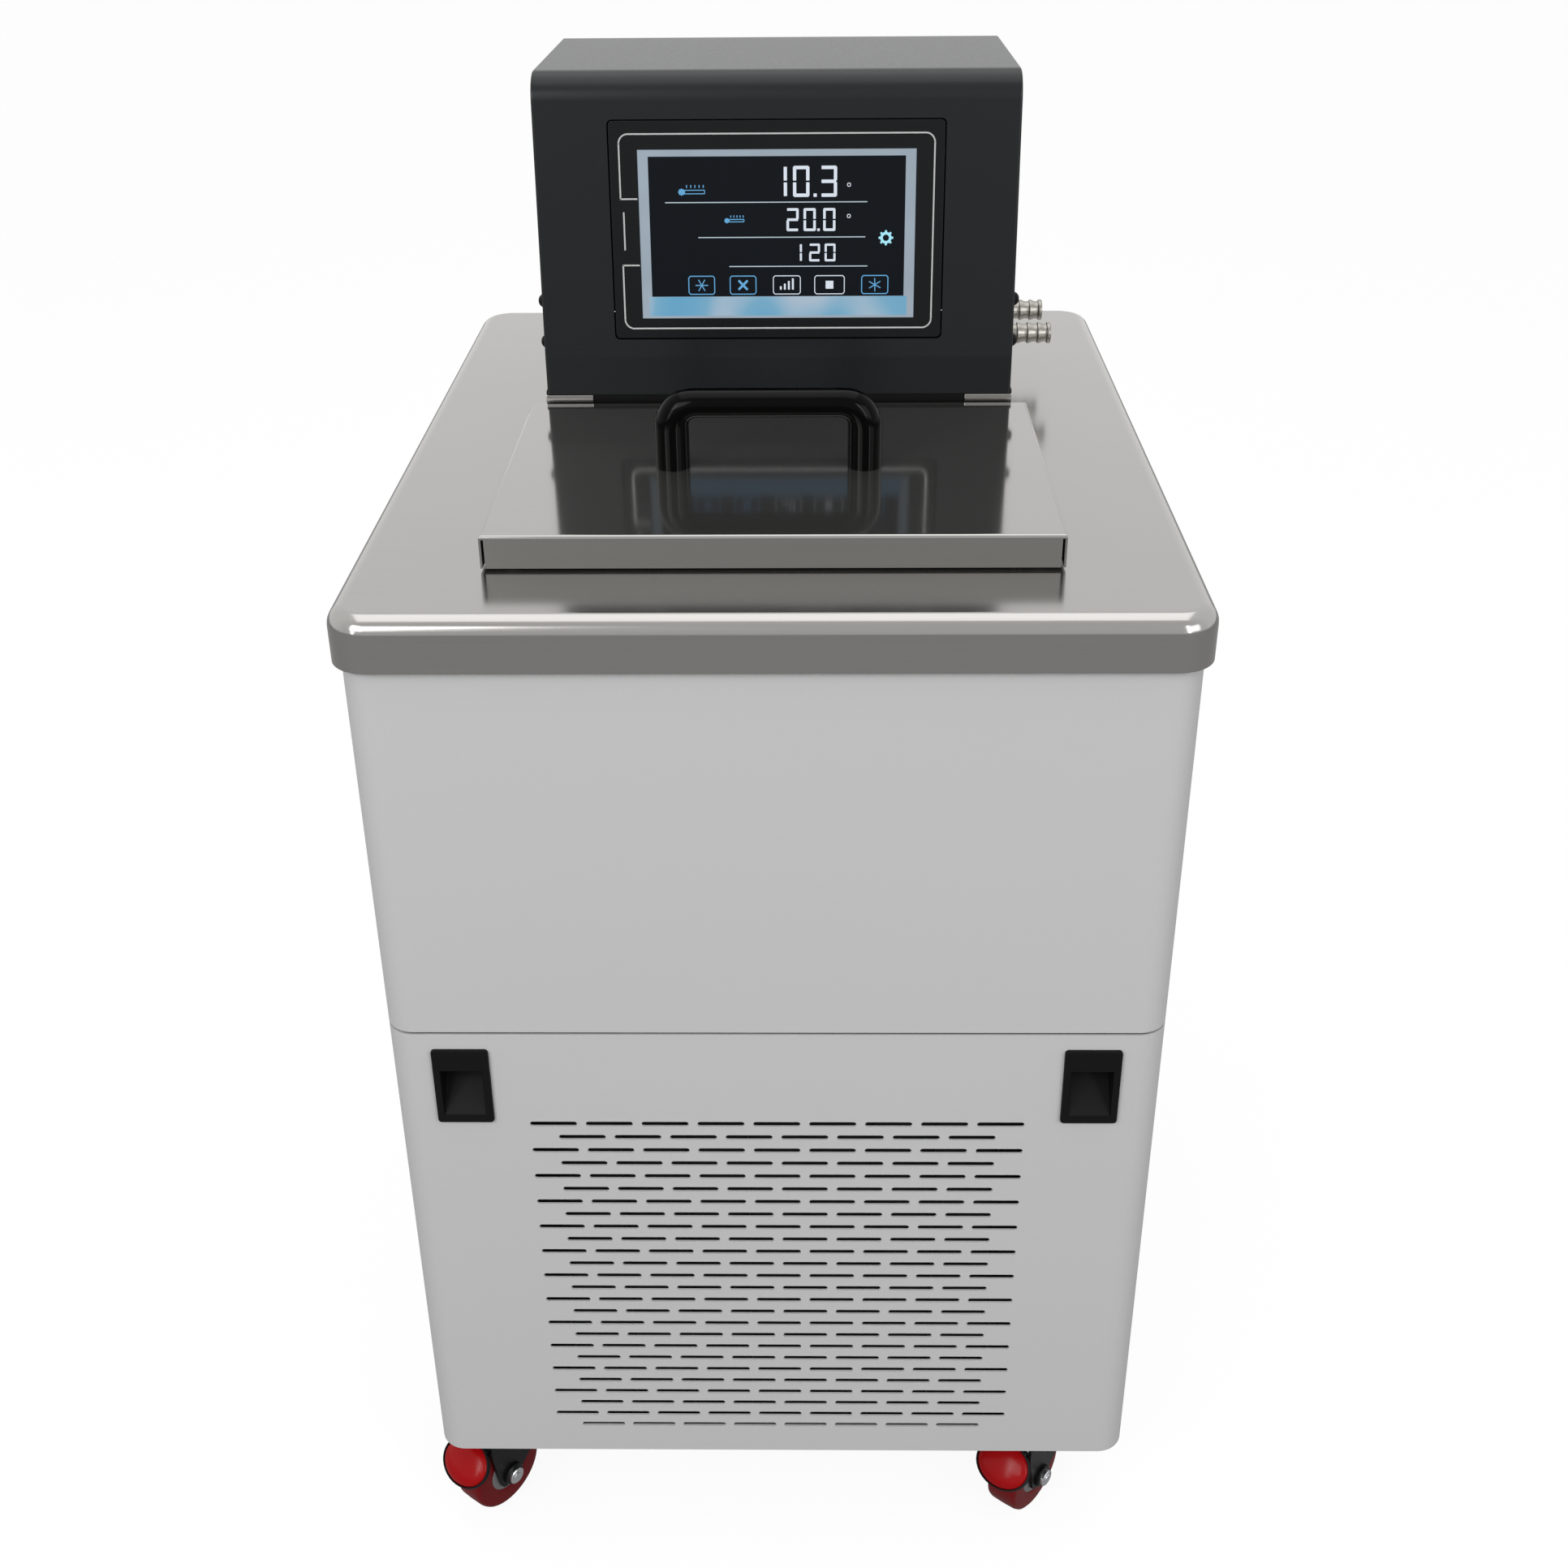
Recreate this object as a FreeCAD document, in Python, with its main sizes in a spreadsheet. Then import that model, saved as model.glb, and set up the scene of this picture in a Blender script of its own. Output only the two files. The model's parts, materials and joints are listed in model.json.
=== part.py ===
"""Refrigerated thermostat bath: a floor-standing stirred bath on four swivel casters.

Frame: millimetres, +Z up, front towards -Y, +X to the right of someone facing the front.
The origin is on the floor under the middle of the cabinet.
"""
import FreeCAD, Part
import math
import os
from types import SimpleNamespace

import Sketcher

V = FreeCAD.Vector
doc = FreeCAD.newDocument("refrigerated_bath")

# Driving dimensions, each with its meaning
TABLE = [
    ("cab_width", 400, "cabinet, over its side walls"),
    ("cab_depth", 506, "cabinet, front face to rear face"),
    ("cab_radius", 15, "outer radius of the cabinet's upright front corners"),
    ("cab_bottom", 68, "underside of the cabinet above the floor"),
    ("seam_height", 369, "seam between the two shells above the floor"),
    ("seam_gap", 1.2, "open width of that seam"),
    ("sheet", 1.2, "steel sheet of the shells and the rear panel"),
    ("pan_sheet", 1.5, "steel sheet of the base pan and the shelf"),
    ("fit_gap", 0.2, "clearance between pieces that slip into each other"),
    ("rear_flange", 30, "return of the shells behind, from the side of the cabinet"),
    ("panel_lap", 15.5, "edge of the rear panel, from the side of the cabinet"),
    ("pan_flange", 20, "upturned edge of the base pan"),
    ("shelf_flange", 9, "downturned edge of the shelf"),
    ("shelf_drop", 1, "top of the shelf below the seam"),
    ("deck_height", 601.5, "top of the deck above the floor"),
    ("deck_overhang", 4.5, "deck beyond the cabinet on each side"),
    ("deck_skirt", 27, "height of the deck's edge"),
    ("deck_radius", 20, "plan radius of the deck's corners"),
    ("deck_round", 9, "roll of the deck's top edge"),
    ("deck_sheet", 1.2, "stainless sheet of the deck"),
    ("deck_step", 11.5, "step that rests on the shells, below the deck's top"),
    ("deck_crown", 10.5, "thick rolled border inside the deck's edge"),
    ("lid_width", 277, "lid, across"),
    ("lid_depth", 199, "lid, front to back"),
    ("lid_inset", 56, "front of the lid behind the deck's front edge"),
    ("lid_rise", 18, "top of the lid above the deck"),
    ("lid_lift", 1.5, "gap under the lid's folded edge"),
    ("lid_sheet", 1, "stainless sheet of the lid"),
    ("lid_notch", 1.6, "open slit at the lid's folded corners"),
    ("collar_inset", 20, "raised collar of the bath opening inside the lid's edge"),
    ("collar_rise", 14, "height of the collar above the deck"),
    ("gasket_width", 5, "lid gasket, across its section"),
    ("handle_pitch", 98, "lid handle, between its legs' centres"),
    ("handle_shift", -3.5, "handle centre to the right of the lid's centre"),
    ("handle_forward", 4, "handle in front of the lid's centre"),
    ("handle_rise", 33.7, "handle's centre line above the lid"),
    ("handle_bend", 13, "handle's bend, centre-line radius"),
    ("handle_width", 15.8, "handle section, along the lid"),
    ("handle_thick", 17.4, "handle section, the other way"),
    ("tank_width", 240, "tank, inside"),
    ("tank_front", 8.5, "tank's inner front wall in front of the collar"),
    ("tank_back", 156, "tank's inner rear wall behind the head's front"),
    ("tank_depth", 195, "tank, inside depth"),
    ("tank_wall", 1, "tank wall"),
    ("tank_radius", 20, "tank's upright corners, outside"),
    ("foam_side", 29, "insulation at the sides of the tank"),
    ("head_gap", 2.5, "front of the control head behind the lid"),
    ("head_width", 259, "control head, across"),
    ("head_depth", 166, "control head, front to back"),
    ("head_sheet", 1.5, "sheet of the control head"),
    ("base_rise", 24, "stainless base of the head above the deck"),
    ("base_width", 268, "stainless base of the head, across"),
    ("base_inset", 0.5, "base behind the head's front face"),
    ("fold_rise", 43, "fold across the head's front above the deck"),
    ("head_rise", 191, "top of the head above the deck, at the front"),
    ("head_fall", 4, "fall of the head's top towards the rear"),
    ("head_lean", 4.9, "backward lean of the display face, degrees"),
    ("head_bend", 14, "bend between the display face and the top"),
    ("bezel_width", 179.6, "display bezel, across"),
    ("bezel_height", 115, "display bezel, up the face"),
    ("bezel_foot", 10.2, "lower edge of the bezel above the fold"),
    ("bezel_thick", 4, "display bezel"),
    ("bezel_sink", 0.8, "bezel behind the face of the head"),
    ("screen_width", 148.8, "display, across"),
    ("screen_height", 88.6, "display, up the face"),
    ("screen_foot", 21.2, "lower edge of the display above the fold"),
    ("screen_thick", 3, "display module"),
    ("vent_width", 60, "air slot in the rear cover of the head"),
    ("vent_height", 4, "air slot in the rear cover of the head"),
    ("vent_pitch", 12, "air slots of the head, centre to centre"),
    ("vent_low", 90, "lowest air slot of the head above the deck"),
    ("knob_radius", 4, "round screw heads on the head's sides"),
    ("knob_proud", 4.4, "those screw heads, standing out"),
    ("knob_back", 22.6, "those screws behind the head's front"),
    ("knob_low", 46, "lower side screw above the deck"),
    ("knob_high", 69, "upper side screw above the deck"),
    ("pump_back", 85, "pump axis behind the head's front"),
    ("motor_size", 62, "pump motor, square"),
    ("motor_height", 78, "pump motor"),
    ("motor_corner", 12, "cut corners of the pump motor"),
    ("shaft_radius", 4, "pump shaft"),
    ("shaft_gap", 0.05, "running clearance of a shaft"),
    ("shaft_socket", 18, "shaft inside the pump motor"),
    ("pump_size", 76, "pump housing, square"),
    ("pump_low", 165, "underside of the pump housing below the deck"),
    ("pump_height", 34, "pump housing"),
    ("rotor_radius", 22, "impeller"),
    ("rotor_height", 12, "impeller"),
    ("rotor_gap", 4, "water gap around the impeller"),
    ("column_radius", 5, "columns that carry the pump"),
    ("column_spread", 28, "columns, from the pump axis"),
    ("suction_radius", 12, "inlet under the pump"),
    ("nozzle_rise", 32, "hose nozzles above the deck"),
    ("nozzle_reach", 30.5, "hose nozzles beyond the head's side"),
    ("nozzle_radius", 5, "hose nozzle's neck"),
    ("nozzle_bore", 3.6, "hose nozzle's bore, radius"),
    ("barb_radius", 6.1, "hose nozzle's barbs"),
    ("barb_length", 3, "one barb"),
    ("barb_pitch", 6.4, "barbs, apart"),
    ("nozzle_nut", 8, "hexagon behind the barbs, corner radius"),
    ("return_back", 135, "return nozzle behind the head's front"),
    ("riser_side", 80, "risers of the two nozzles beside the centre"),
    ("return_low", 60, "open end of the return pipe below the deck"),
    ("coil_side", 98, "evaporator coil, half width"),
    ("coil_front", 20, "front run of the coil behind the head's front"),
    ("coil_back", 146, "rear run of the coil behind the head's front"),
    ("coil_radius", 5, "evaporator tube"),
    ("coil_low", 182, "lowest turn below the deck"),
    ("coil_pitch", 24, "turns of the coil, apart"),
    ("heater_radius", 4, "heater tube"),
    ("heater_side", 62, "heater to the left of the centre"),
    ("heater_front", 44, "heater's front leg behind the head's front"),
    ("heater_back", 124, "heater's rear leg behind the head's front"),
    ("heater_low", 150, "heater's lower run below the deck"),
    ("probe_radius", 3, "temperature probe"),
    ("probe_low", 120, "tip of the probe below the deck"),
    ("slot_length", 24.8, "grille slot"),
    ("slot_height", 3.1, "grille slot"),
    ("slot_pitch", 29.3, "grille slots along a row"),
    ("row_pitch", 8.86, "grille rows"),
    ("row_pairs", 13, "pairs of a long and a short row"),
    ("row_slots", 9, "slots in a long row"),
    ("top_row", 58.5, "highest row below the seam"),
    ("grip_width", 29.5, "recessed grip, over its rim"),
    ("grip_height", 46.5, "recessed grip, over its rim"),
    ("grip_side", 162.5, "grip beside the centre"),
    ("grip_drop", 33, "middle of the grip below the seam"),
    ("grip_proud", 2, "rim of the grip on the panel"),
    ("grip_rim_side", 3.8, "rim beside the finger well"),
    ("grip_rim_top", 12, "rim above the finger well"),
    ("grip_rim_low", 6.4, "rim below the finger well"),
    ("grip_depth", 20, "finger well behind the panel, at its top"),
    ("grip_wall", 1.6, "wall of the finger well"),
    ("condenser_width", 270, "condenser"),
    ("condenser_height", 230, "condenser"),
    ("condenser_gap", 8, "condenser behind the front shell"),
    ("condenser_core", 14, "condenser's tube core"),
    ("fin_proud", 7, "fins in front of the core"),
    ("fin_thick", 1.2, "condenser fin"),
    ("fin_count", 8, "condenser fins"),
    ("shroud_depth", 26, "fan shroud"),
    ("shroud_sheet", 1.5, "fan shroud"),
    ("fan_radius", 88, "tip of the fan blades"),
    ("fan_gap", 5, "fan tip to the shroud's mouth"),
    ("fan_hub", 20, "fan hub, radius"),
    ("fan_hub_depth", 16, "fan hub"),
    ("fan_blades", 5, "blades of the condenser fan"),
    ("fan_pitch", 28, "blade angle, degrees"),
    ("blade_thick", 2, "fan blade"),
    ("hub_gap", 3, "fan hub in front of its motor's strap"),
    ("fan_socket", 18, "fan shaft inside its motor"),
    ("fan_motor_size", 56, "fan motor, square"),
    ("fan_motor_depth", 48, "fan motor"),
    ("fan_shaft", 3, "fan shaft, radius"),
    ("can_radius", 62, "compressor, corner radius of its can"),
    ("can_height", 150, "compressor can"),
    ("can_dome", 16, "rounded top of the can"),
    ("can_inset", 123, "compressor's axis in front of the rear face"),
    ("can_side", 70, "compressor to the right of the centre"),
    ("can_lift", 18, "compressor foot plate above the pan"),
    ("foot_plate", 150, "compressor foot plate"),
    ("foot_sheet", 3, "compressor foot plate"),
    ("foot_radius", 9, "rubber mounts under the compressor"),
    ("tube_radius", 4, "refrigerant pipes"),
    ("box_width", 110, "control box"),
    ("box_depth", 150, "control box"),
    ("box_height", 90, "control box"),
    ("box_inset", 43, "control box in front of the rear face"),
    ("recess_width", 72, "drain recess in the rear panel"),
    ("recess_height", 80, "drain recess in the rear panel"),
    ("recess_depth", 36, "drain recess in the rear panel"),
    ("recess_side", 90, "drain recess to the left of the centre"),
    ("recess_low", 262, "bottom of the drain recess above the floor"),
    ("recess_wall", 1.5, "wall of the drain recess"),
    ("drain_radius", 6, "drain pipe"),
    ("drain_inset", 18, "drain pipe in front of the rear face"),
    ("drain_drop", 34, "drain hole in front of the tank's rear wall"),
    ("lever_length", 27, "drain lever"),
    ("louvre_width", 120, "air slot in the rear panel"),
    ("louvre_height", 5, "air slot in the rear panel"),
    ("louvre_pitch", 14, "air slots in the rear panel"),
    ("louvre_rows", 6, "rows of air slots"),
    ("louvre_low", 112, "lowest air slot above the floor"),
    ("louvre_side", 66, "air slots right of the centre"),
    ("entry_width", 52, "power entry, over its flange"),
    ("entry_height", 30, "power entry, over its flange"),
    ("entry_side", 130, "power entry to the left of the centre"),
    ("entry_low", 110, "power entry above the floor"),
    ("caster_side", 160, "swivel axis beside the centre"),
    ("caster_ahead", 208, "swivel axis in front of or behind the centre"),
    ("caster_turn", 38, "casters turned from straight forward, degrees"),
    ("caster_trail", 22, "wheel axle behind the swivel axis"),
    ("wheel_radius", 25.4, "caster wheel"),
    ("wheel_width", 20, "caster wheel"),
    ("wheel_sides", 20, "flats that draw the small wheels' round tread"),
    ("wheel_gap", 1, "wheel to fork"),
    ("axle_radius", 3, "caster axle bolt"),
    ("axle_gap", 0.13, "axle bolt to the corners of the wheel's bore"),
    ("fork_sheet", 2, "steel of the caster fork"),
    ("fork_top", 59, "top of the fork above the floor"),
    ("fork_back", 15, "fork behind the swivel axis"),
    ("fork_ahead", 34.8, "top of the fork towards the pedal, from the swivel axis"),
    ("fork_knee", 36, "legs of the fork under the pedal's pin, from the swivel axis"),
    ("fork_foot", 9, "half width of a leg at the axle"),
    ("fork_low", 7, "leg below the axle"),
    ("race_radius", 17, "swivel race"),
    ("race_gap", 0.3, "fork under the race"),
    ("plate_size", 56, "caster plate, square"),
    ("plate_thick", 2.5, "caster plate"),
    ("pedal_radius", 14.5, "brake pedal"),
    ("pedal_reach", 46, "brake pedal's centre from the swivel axis"),
    ("pedal_height", 46.5, "brake pedal's centre above the floor"),
    ("pedal_tilt", 40, "outward face of the pedal above level, degrees"),
    ("pedal_thick", 4, "brake pedal"),
    ("pedal_pin", 2.2, "pin of the brake pedal"),
    ("pin_reach", 33, "that pin from the swivel axis"),
    ("pin_height", 53, "that pin above the floor"),
]


class Dim:
    """A number together with the spreadsheet formula that gives it."""

    def __init__(self, value, text):
        self.value, self.text = float(value), text

    def __add__(self, other):
        other = dim(other)
        return Dim(self.value + other.value, f"({self.text} + {other.text})")

    def __sub__(self, other):
        other = dim(other)
        return Dim(self.value - other.value, f"({self.text} - {other.text})")

    def __mul__(self, other):
        other = dim(other)
        return Dim(self.value * other.value, f"({self.text} * {other.text})")

    def __truediv__(self, other):
        other = dim(other)
        return Dim(self.value / other.value, f"({self.text} / {other.text})")

    def __radd__(self, other):
        return dim(other) + self

    def __rsub__(self, other):
        return dim(other) - self

    def __rmul__(self, other):
        return dim(other) * self

    def __neg__(self):
        return Dim(-self.value, f"(0 - {self.text})")


def dim(number):
    return number if isinstance(number, Dim) else Dim(number, f"({float(number)})")


def sine(angle):
    return Dim(math.sin(math.radians(angle.value)), f"sin({angle.text} * 1 deg)")


def cosine(angle):
    return Dim(math.cos(math.radians(angle.value)), f"cos({angle.text} * 1 deg)")


sheet = doc.addObject("Spreadsheet::Sheet", "Sizes")
for row, (name, value, meaning) in enumerate(TABLE, start=1):
    sheet.set(f"A{row}", name)
    sheet.set(f"B{row}", str(value))
    sheet.set(f"C{row}", meaning)
    sheet.setAlias(f"B{row}", name)
doc.recompute()
s = SimpleNamespace(**{name: Dim(value, f"Sizes.{name}") for name, value, meaning in TABLE})

# Levels and faces that several pieces share
half_width = s.cab_width / 2
half_depth = s.cab_depth / 2
inner_side = half_width - s.sheet - s.fit_gap
inner_front = half_depth - s.sheet - s.fit_gap
rear_face = half_depth - s.sheet
inner_rear = rear_face - s.sheet - s.fit_gap
panel_x = half_width - s.panel_lap
deck_top = s.deck_height
deck_under = deck_top - s.deck_sheet
shell_top = deck_top - s.deck_step - 0.3
shelf_top = s.seam_height - s.shelf_drop
lid_front = -(half_depth + s.deck_overhang) + s.lid_inset
lid_back = lid_front + s.lid_depth
lid_top = deck_top + s.lid_rise
base_top = deck_top + s.base_rise
fold_level = deck_top + s.fold_rise
pan_top = s.cab_bottom + s.pan_sheet
plate_under = s.cab_bottom - s.plate_thick
collar_x = s.lid_width / 2 - s.collar_inset
collar_front = lid_front + s.collar_inset
collar_back = lid_back - s.collar_inset
head_front = lid_back + s.head_gap
head_rear = head_front + s.head_depth
pump_y = head_front + s.pump_back
return_y = head_front + s.return_back
coil_y = (head_front + s.coil_front, head_front + s.coil_back)
heater_y = (head_front + s.heater_front, head_front + s.heater_back)
can_y = half_depth - s.can_inset

nodes = {}


def node(name, obj):
    """Keep an object as one finished piece, under its own label."""
    obj.Label = name
    nodes[name] = obj
    return obj


def bind(obj, prop, size):
    size = dim(size)
    setattr(obj, prop, size.value)
    obj.setExpression(prop, size.text)


TURNS = {
    "x": FreeCAD.Rotation(V(0, 1, 0), 90),
    "y": FreeCAD.Rotation(V(1, 0, 0), -90),
    "z": FreeCAD.Rotation(),
}


def place(obj, at, rotation=FreeCAD.Rotation()):
    at = [dim(size) for size in at]
    obj.Placement = FreeCAD.Placement(V(*[size.value for size in at]), rotation)
    for letter, size in zip("xyz", at):
        obj.setExpression(f"Placement.Base.{letter}", size.text)
    return obj


def block(name, across, along, up):
    """A box between two limits in each direction."""
    obj = doc.addObject("Part::Box", name)
    for prop, (low, high) in zip(("Length", "Width", "Height"), (across, along, up)):
        bind(obj, prop, dim(high) - low)
    return place(obj, (across[0], along[0], up[0]))


def prism(name, sides, radius, length, at, axis="z"):
    obj = doc.addObject("Part::Prism", name)
    obj.Polygon = int(dim(sides).value)
    if isinstance(sides, Dim):
        obj.setExpression("Polygon", sides.text)
    bind(obj, "Circumradius", radius)
    bind(obj, "Height", length)
    return place(obj, at, TURNS[axis])


def bevelled(name, base, size, test):
    """Cut flat the edges whose ends both pass a test."""
    obj = doc.addObject("Part::Chamfer", name)
    obj.Base = base
    doc.recompute()
    size = dim(size).value
    obj.Edges = [(number, size, size) for number, edge in enumerate(base.Shape.Edges, start=1)
                 if all(test(vertex) for vertex in edge.Vertexes)]
    return obj


def compound(name, pieces):
    obj = doc.addObject("Part::Compound", name)
    obj.Links = list(pieces)
    return obj


def fuse(name, *pieces):
    obj = doc.addObject("Part::MultiFuse", name)
    obj.Shapes = list(pieces)
    obj.Refine = True
    return obj


def cut(name, base, *tools):
    obj = doc.addObject("Part::Cut", name)
    obj.Base = base
    obj.Tool = tools[0] if len(tools) == 1 else compound(name + "_tools", tools)
    return obj


def drawn(name, shape):
    """A feature for a swept or repeated form that is worked out from the sheet's values."""
    obj = doc.addObject("Part::Feature", name)
    obj.Shape = shape
    return obj


def body(name):
    return doc.addObject("PartDesign::Body", name)


def role(owner, wanted):
    return [part for part in owner.Origin.OriginFeatures if part.Role == wanted][0]


def sketch(owner, name, plane, loops=(), circles=(), offset=0):
    """A fully constrained sketch of straight outlines and circles on one of the body's planes."""
    obj = owner.newObject("Sketcher::SketchObject", name)
    obj.AttachmentSupport = [(role(owner, plane), "")]
    obj.MapMode = "FlatFace"
    offset = dim(offset)
    obj.AttachmentOffset = FreeCAD.Placement(V(0, 0, offset.value), FreeCAD.Rotation())
    obj.setExpression("AttachmentOffset.Base.z", offset.text)
    for loop in loops:
        points = [(dim(across), dim(up)) for across, up in loop]
        first = obj.GeometryCount
        count = len(points)
        for index, (across, up) in enumerate(points):
            ahead = points[(index + 1) % count]
            line = Part.LineSegment(V(across.value, up.value, 0), V(ahead[0].value, ahead[1].value, 0))
            obj.addGeometry(line, False)
        for index in range(count):
            follower = first + (index + 1) % count
            obj.addConstraint(Sketcher.Constraint("Coincident", first + index, 2, follower, 1))
        for index, point in enumerate(points):
            pin_point(obj, first + index, 1, point)
    for across, up, radius in circles:
        across, up, radius = dim(across), dim(up), dim(radius)
        ring = obj.addGeometry(Part.Circle(V(across.value, up.value, 0), V(0, 0, 1), radius.value), False)
        pin_point(obj, ring, 3, (across, up))
        number = obj.addConstraint(Sketcher.Constraint("Radius", ring, radius.value))
        obj.setExpression(f"Constraints[{number}]", radius.text)
    return obj


def pin_point(obj, geometry, end, point):
    """Hold a sketch point at its distances from the two axes."""
    for kind, axis, size in (("DistanceX", -2, point[0]), ("DistanceY", -1, point[1])):
        if abs(size.value) < 1e-9:
            obj.addConstraint(Sketcher.Constraint("PointOnObject", geometry, end, axis))
        else:
            number = obj.addConstraint(Sketcher.Constraint(kind, -1, 1, geometry, end, size.value))
            obj.setExpression(f"Constraints[{number}]", size.text)


def rectangle(across, up):
    return [(across[0], up[0]), (across[1], up[0]), (across[1], up[1]), (across[0], up[1])]


def pad(owner, profile, length, both=False, back=False):
    obj = owner.newObject("PartDesign::Pad", profile.Name + "_pad")
    obj.Profile = profile
    bind(obj, "Length", length)
    obj.SideType = "Symmetric" if both else "One side"
    obj.Reversed = back
    doc.recompute()
    return obj


def pocket(owner, profile, length, both=False, back=False):
    """Cut a profile and make sure that it took something away."""
    before = owner.Tip.Shape.Volume
    obj = owner.newObject("PartDesign::Pocket", profile.Name + "_pocket")
    obj.Profile = profile
    bind(obj, "Length", length)
    obj.SideType = "Symmetric" if both else "One side"
    obj.Reversed = back
    doc.recompute()
    if not owner.Tip.Shape.Volume < before:
        raise RuntimeError(f"{profile.Name} cuts nothing")
    return obj


def edges_of(shape, test):
    return [f"Edge{number}" for number, edge in enumerate(shape.Edges, start=1) if test(edge)]


def is_upright(edge):
    ends = [vertex.Point for vertex in edge.Vertexes]
    return len(ends) == 2 and abs(ends[0].x - ends[1].x) + abs(ends[0].y - ends[1].y) < 1e-6


def round_edges(owner, name, radius, test):
    chosen = edges_of(owner.Tip.Shape, test)
    obj = owner.newObject("PartDesign::Fillet", name)
    obj.Base = (obj.BaseFeature, chosen)
    bind(obj, "Radius", radius)
    doc.recompute()
    return obj


def rounded_block(name, across, along, up, radius=0, flat=False):
    """A box with rounded upright corners, or with corners cut flat where no one sees them."""
    owner = body(name + "_body")
    plan = sketch(owner, name + "_plan", "XY_Plane", [rectangle(across, along)], offset=up[0])
    pad(owner, plan, dim(up[1]) - up[0])
    if radius and flat:
        chamfer(owner, name + "_corners", is_upright, radius)
    elif radius:
        round_edges(owner, name + "_corners", radius, is_upright)
    return owner


def chamfer(owner, name, test, size, other=None, flip=False):
    """Cut chosen edges flat, with two different widths if another one is given."""
    base = owner.Tip
    obj = owner.newObject("PartDesign::Chamfer", name)
    obj.Base = (base, edges_of(base.Shape, test))
    if other is not None:
        obj.ChamferType = "Two distances"
        obj.FlipDirection = flip
        bind(obj, "Size2", other)
    bind(obj, "Size", size)
    doc.recompute()
    return obj


def hollow(owner, name, wall, is_open):
    """Leave a sheet of one thickness inside the faces, and take the open faces away."""
    base = owner.Tip
    faces = [f"Face{number}" for number, face in enumerate(base.Shape.Faces, start=1) if is_open(face.BoundBox)]
    obj = owner.newObject("PartDesign::Thickness", name)
    obj.Base = (base, faces)
    bind(obj, "Value", wall)
    obj.Reversed = True
    obj.Join = 1
    doc.recompute()
    return obj


def tray(name, across, along, up, wall, radius=0, mouth="up"):
    """A folded or drawn sheet box that is open above or below."""
    owner = rounded_block(name, across, along, up, radius, flat=True)
    level = dim(up[1] if mouth == "up" else up[0]).value
    hollow(owner, name + "_hollow", wall, lambda box: abs(box.ZMax - level) + abs(box.ZMin - level) < 1e-6)
    return owner


def ring_of(centre, direction, radius, sides):
    """A regular outline around a direction, as a closed wire."""
    aside = direction.cross(V(0, 0, 1) if abs(direction.z) < 0.9 else V(1, 0, 0)).normalize()
    over = direction.cross(aside)
    turns = [2 * math.pi * (index + 0.5) / sides for index in range(sides)]
    ring = [centre + aside * (radius * math.cos(turn)) + over * (radius * math.sin(turn)) for turn in turns]
    return Part.makePolygon(ring + ring[:1])


def rod(points, radius, bend=0, outline=None, sides=8):
    """A bar or tube along straight runs, its bends in three steps of thirty degrees."""
    spots = [V(*[dim(size).value for size in point]) for point in points]
    bend = dim(bend).value
    route = [spots[0]]
    for before, corner, after in zip(spots, spots[1:], spots[2:]):
        into, out = (corner - before).normalize(), (after - corner).normalize()
        if not bend:
            route.append(corner)
            continue
        centre = corner - into * bend + out * bend
        for degrees in (0, 30, 60, 90):
            turn = math.radians(degrees)
            route.append(centre - out * (bend * math.cos(turn)) + into * (bend * math.sin(turn)))
    route.append(spots[-1])
    first = (route[1] - route[0]).normalize()
    if outline is None:
        outline = ring_of(route[0], first, dim(radius).value, sides)
    return Part.makePolygon(route).makePipeShell([outline], True, False, 1)


# Cabinet: base pan, two wrap-round shells, shelf and rear panel

def base_pan():
    pan = tray("base_pan", (-inner_side, inner_side), (-inner_front, inner_rear),
               (s.cab_bottom, s.cab_bottom + s.pan_flange), s.pan_sheet, s.cab_radius)
    return node("base_pan", pan)


def wrap_shell(name, low, high):
    """Front and two sides folded from one sheet, with a return behind for the rear panel."""
    owner = body(name + "_body")
    inner_x, inner_y = half_width - s.sheet, half_depth - s.sheet
    lip_x, lip_y = half_width - s.rear_flange, rear_face - s.sheet
    right = [(half_width, -half_depth), (half_width, rear_face), (lip_x, rear_face), (lip_x, lip_y),
             (inner_x, lip_y), (inner_x, -inner_y)]
    left = [(-across, along) for across, along in reversed(right)]
    plan = sketch(owner, name + "_plan", "XY_Plane", [right + left], offset=low)
    pad(owner, plan, high - low)
    outer, inner = half_width.value, inner_x.value
    round_edges(owner, f"{name}_outer", s.cab_radius,
                lambda edge: is_upright(edge) and abs(abs(edge.Vertexes[0].X) - outer) < 1e-6)
    # Inside, where no one looks, the bends are flats that leave the sheet whole
    chamfer(owner, f"{name}_inner", lambda edge: is_upright(edge) and abs(abs(edge.Vertexes[0].X) - inner) < 1e-6,
            (s.cab_radius - s.sheet) * 0.65)
    return owner


def slot_field(owner, name, slots, first_x, first_z):
    """One slot, repeated along its row and down every second row."""
    left, top = first_x - s.slot_length / 2, first_z + s.slot_height / 2
    slot = sketch(owner, name, "XZ_Plane",
                  [rectangle((left, left + s.slot_length), (top - s.slot_height, top))])
    cutter = pocket(owner, slot, s.cab_depth + 40, both=True)
    field = owner.newObject("PartDesign::LinearPattern", name + "_field")
    field.Originals = [cutter]
    field.Direction = (role(owner, "X_Axis"), [""])
    field.Direction2 = (role(owner, "Z_Axis"), [""])
    field.Reversed2 = True
    bind(field, "Length", (slots - 1) * s.slot_pitch)
    bind(field, "Length2", (s.row_pairs - 1) * s.row_pitch * 2)
    for prop, count in (("Occurrences", slots), ("Occurrences2", s.row_pairs)):
        setattr(field, prop, int(count.value))
        field.setExpression(prop, count.text)
    owner.Tip = field
    doc.recompute()


grip_level = s.seam_height - s.grip_drop


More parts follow.
